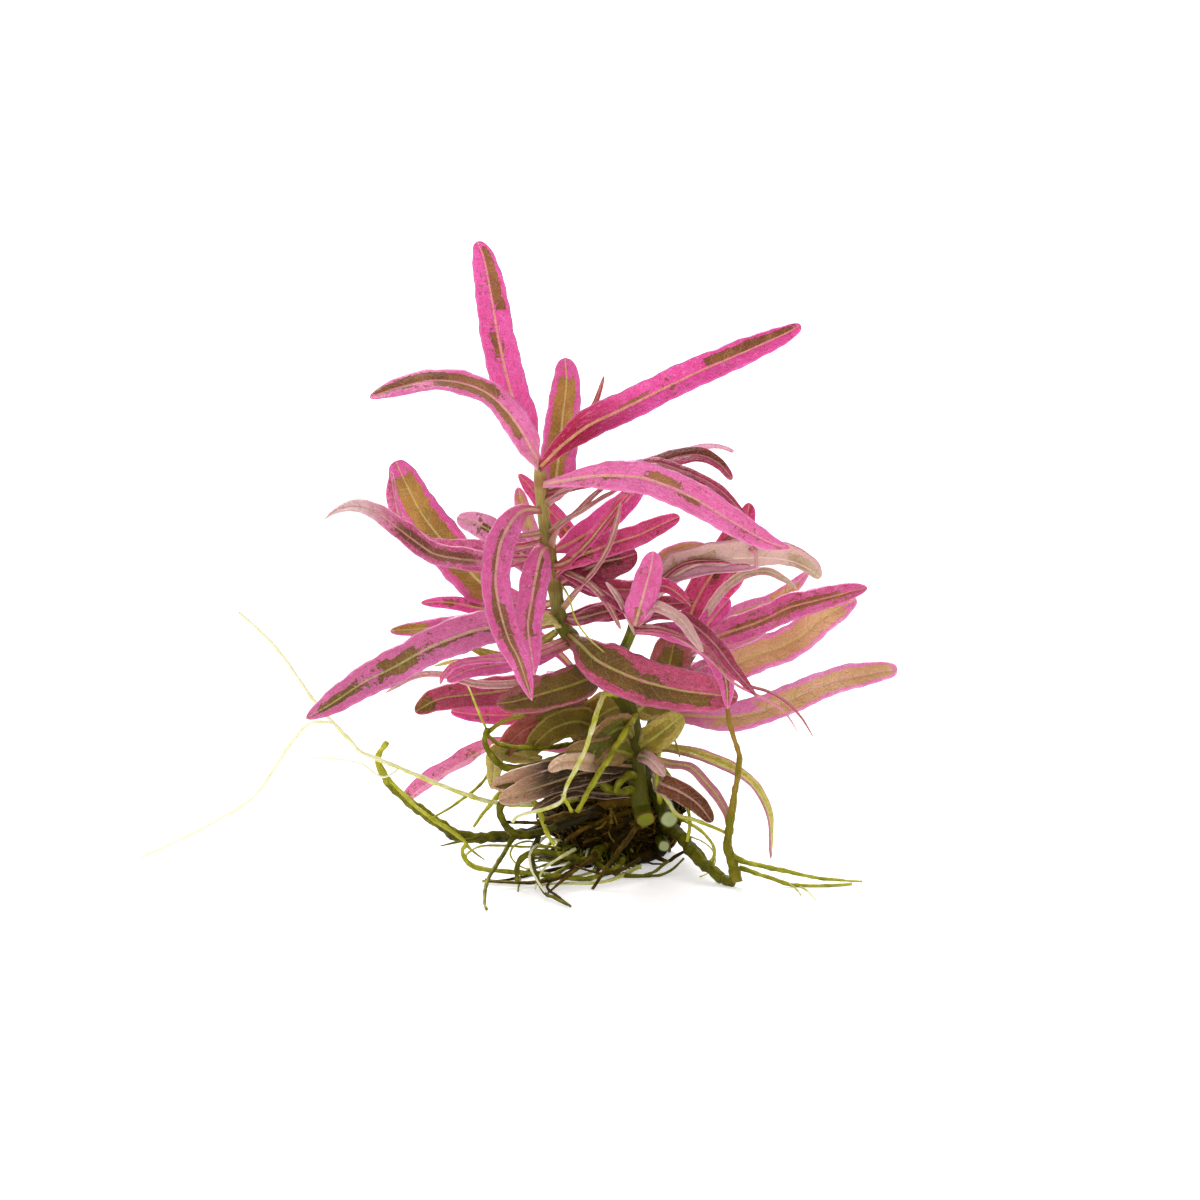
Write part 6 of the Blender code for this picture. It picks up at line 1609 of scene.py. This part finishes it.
class PLANT_OT_stage(bpy.types.Operator):
    """Builds the pale floor, the soft light and the camera"""

    bl_idname = "plant.stage"
    bl_label = "Stage"

    def execute(self, context):
        scene, settings = context.scene, context.scene.plant_stage
        scene.view_settings.view_transform = "Standard"
        add_floor(settings)
        room = bpy.data.worlds.new("room")
        room.use_nodes = True
        background = room.node_tree.nodes["Background"]
        background.inputs["Color"].default_value = (1, 1, 1, 1)
        background.inputs["Strength"].default_value = settings.sky
        scene.world = room
        lamp = bpy.data.lights.new("soft_lamp", "SUN")
        lamp.energy = settings.lamp
        lamp.angle = LAMP_SPREAD
        lamp_object = bpy.data.objects.new("soft_lamp", lamp)
        lamp_object.rotation_euler = LAMP_TURN
        scene.collection.objects.link(lamp_object)
        camera = bpy.data.cameras.new("front_camera")
        camera.lens = camera.sensor_width * settings.camera_distance / settings.frame_width
        camera_object = bpy.data.objects.new("front_camera", camera)
        middle = world_point(FRAME_MIDDLE)
        back = np.array([0, -math.cos(VIEW_TILT), math.sin(VIEW_TILT)])
        camera_object.location = middle + back * settings.camera_distance
        camera_object.rotation_euler = (math.pi / 2 - VIEW_TILT, 0, 0)
        scene.collection.objects.link(camera_object)
        scene.camera = camera_object
        return {"FINISHED"}


def world_point(point):
    return world([point])[0] * MM


def add_floor(settings):
    """A wide pale floor, dull, with a barely uneven tone."""
    half = FLOOR_HALF_WIDTH
    mesh = bpy.data.meshes.new("floor")
    corners = [(-half, -half, 0), (half, -half, 0), (half, half, 0), (-half, half, 0)]
    mesh.from_pydata(corners, [], [(0, 1, 2, 3)])
    material, net, shader = blank_material("floor")
    tone = net.noise(net.add("ShaderNodeTexCoord", output="Object"), 30.0, 2.0)
    darker = [value * FLOOR_UNEVENNESS for value in settings.floor_colour]
    net.fill(shader, {
        "Base Color": net.layers((*settings.floor_colour, 1.0), (net.step(tone, 0.3, 0.7), (*darker, 1.0))),
        "Roughness": 0.9,
        "Specular IOR Level": 0.0,
        "Emission Color": (1, 1, 1, 1),
        "Emission Strength": settings.floor_glow,
    })
    mesh.materials.append(material)
    floor = bpy.data.objects.new("floor", mesh)
    bpy.context.scene.collection.objects.link(floor)


def plug_skin():
    """The plug's lump: p(d) = centre + d * radii * plug_scale(d) * (1 + small ridged waves), for each unit
    direction d, with everything below the floor pressed flat onto it."""
    rng = np.random.default_rng(FIBRE_SEED)
    polar = np.linspace(0, math.pi, PLUG_ROWS + 2)[-2:0:-1][:, None]
    turn = np.linspace(0, 2 * math.pi, PLUG_AROUND, endpoint=False)[None, :]
    directions = spread(np.sin(polar) * np.cos(turn), np.sin(polar) * np.sin(turn), np.cos(polar))
    wave_ways = unit(rng.normal(size=(PLUG_WAVES, 3)))
    rates = rng.uniform(*PLUG_WAVE_RATES, PLUG_WAVES)
    phases = rng.uniform(0, 2 * math.pi, PLUG_WAVES)
    heights = PLUG_WAVE_RATES[0] / rates / math.sqrt(PLUG_WAVES)
    ridges = np.abs(np.sin(directions @ wave_ways.T * rates + phases)) @ heights
    scale = plug_scale(directions) * (1 + PLUG_ROUGHNESS * (ridges - ridges.mean()) / ridges.std())
    rings = PLUG_CENTRE + directions * scale[..., None] * PLUG_RADII
    rings[..., 2] = np.maximum(rings[..., 2], 0)
    return closed_skin(rings, [rings[0].mean(0), rings[-1].mean(0)], {})


def fibre_skin(count):
    """Fine roots wound over the plug. Each follows an arc over the lump, d(s) = start * cos(s) + way * sin(s)
    + a slow wave, a little above the surface, as a thin tube around that line."""
    rng = np.random.default_rng(FIBRE_SEED + 1)
    each = (count, 1, 1)
    start = unit(rng.normal(size=(count, 1, 3)) * (1, 1, 0.8) + (0, -0.35, 0.15))
    way = rng.normal(size=(count, 1, 3)) * (1, 1, 0.7)
    way = unit(way - start * (way * start).sum(-1, keepdims=True))
    reach = rng.uniform(*FIBRE_REACHES, each)
    s = np.linspace(0, 1, FIBRE_ROWS)[None, :, None] * reach
    sway = np.sin(s * rng.uniform(3, 9, each) + rng.uniform(*ANY_PHASE, each)) * FIBRE_SWAY
    directions = unit(start * np.cos(s) + way * np.sin(s) + np.cross(start, way) * sway)
    lift = 0.99 + 0.09 * rng.random(each) ** 2 + 0.03 * np.sin(s * 7 + rng.uniform(*ANY_PHASE, each))
    centres = PLUG_CENTRE + directions * plug_scale(directions)[..., None] * lift * PLUG_RADII
    thick = rng.uniform(*FIBRE_RADII, each) * (1 - 0.4 * s / reach)
    centres[..., 2:] = np.maximum(centres[..., 2:], thick)
    tones = rng.choice(FIBRE_TONES[0], count, p=FIBRE_TONES[1])
    return thin_tubes(centres, thick, directions, s, tones)


def thin_tubes(centres, thick, away, s, tones):
    """Many thin roots as one skin: a ring around each point of each centre line, turned by the direction
    away from what the root lies on."""
    tangents = unit(np.gradient(centres, axis=1))
    seconds = unit(np.cross(tangents, away))
    firsts = np.cross(seconds, tangents)
    angle = np.linspace(0, 2 * math.pi, FIBRE_AROUND, endpoint=False)
    rings = centres[:, :, None] + thick[:, :, None] * (
        np.cos(angle)[:, None] * firsts[:, :, None] + np.sin(angle)[:, None] * seconds[:, :, None])
    rings[..., 2] = np.maximum(rings[..., 2], FLOOR_CLEARANCE)
    skins = []
    for number, (ring, share, tone) in enumerate(zip(rings, s, tones)):
        values = {
            "tube_place": spread(share * FIBRE_LENGTH + number, angle, share),
            "tube_tone": spread(tone + 0 * ring[..., 0], 0.0, 0.0),
        }
        skins.append(closed_skin(ring, ring[[0, -1]].mean(1), values))
    return joined(skins)


def mat_skin():
    """The mat of fine roots in front of the plug's foot. Each leaves the foot ring at an angle a and runs
    over the floor, p(s) = foot(a) + way * s + side * sway * sin(s), rising a little at its middle."""
    rng = np.random.default_rng(FIBRE_SEED + 2)
    each = (MAT_COUNT, 1, 1)
    turn = np.radians(rng.uniform(*MAT_ANGLES, each))
    foot = np.concatenate([np.cos(turn), np.sin(turn), 0 * turn], axis=2) * PLUG_RADII * MAT_FOOT_SHARE
    heading = turn + rng.normal(0, MAT_FAN, each)
    way = np.concatenate([np.cos(heading), 0.75 * np.sin(heading), 0 * turn], axis=2)
    side = np.cross(way, (0, 0, 1))
    s = np.linspace(0, 1, FIBRE_ROWS)[None, :, None] * np.ones_like(turn)
    length = rng.uniform(*MAT_LENGTHS, each)
    sway = np.sin(s * rng.uniform(2, 6, each) + rng.uniform(*ANY_PHASE, each)) * length * MAT_SWAY
    centres = foot + way * s * length + side * sway
    thick = rng.uniform(*MAT_RADII, each) * (1 - 0.5 * s)
    centres[..., 2:] = thick + rng.uniform(0, MAT_RISE, each) * np.sin(math.pi * np.minimum(s + 0.25, 1))
    up = np.zeros_like(centres) + (0, 0, 1)
    tones = rng.choice(MAT_TONES[0], MAT_COUNT, p=MAT_TONES[1])
    return thin_tubes(centres, thick, up, s, tones)


OPERATORS = (
    PLANT_OT_stage, PLANT_OT_stems, PLANT_OT_plug, PLANT_OT_roots, PLANT_OT_small_roots,
    PLANT_OT_crown_leaves, PLANT_OT_right_leaves, PLANT_OT_left_leaves, PLANT_OT_front_leaves,
    PLANT_OT_small_leaves,
)


class PLANT_PT_panel(bpy.types.Panel):
    """Lists the plant's sizes, colours and pieces"""

    bl_idname = "PLANT_PT_panel"
    bl_label = "Pink Stem Plant"
    bl_space_type = "VIEW_3D"
    bl_region_type = "UI"
    bl_category = "Plant"

    def draw(self, context):
        for settings in (context.scene.plant_leaves, context.scene.plant_roots, context.scene.plant_stage):
            box = self.layout.box()
            for key in settings.__annotations__:
                box.prop(settings, key)
        for operator in OPERATORS:
            self.layout.operator(operator.bl_idname)


SETTINGS = {
    "plant_leaves": PlantLeafSettings, "plant_roots": PlantRootSettings, "plant_stage": PlantStageSettings,
}


def register():
    for made in (*SETTINGS.values(), *OPERATORS, PLANT_PT_panel):
        bpy.utils.register_class(made)
    for key, made in SETTINGS.items():
        setattr(bpy.types.Scene, key, bpy.props.PointerProperty(type=made))


def unregister():
    for key in SETTINGS:
        delattr(bpy.types.Scene, key)
    for made in reversed((*SETTINGS.values(), *OPERATORS, PLANT_PT_panel)):
        bpy.utils.unregister_class(made)


def main():
    register()
    for operator in OPERATORS:
        group, name = operator.bl_idname.split(".")
        getattr(getattr(bpy.ops, group), name)()


if __name__ == "__main__":
    main()
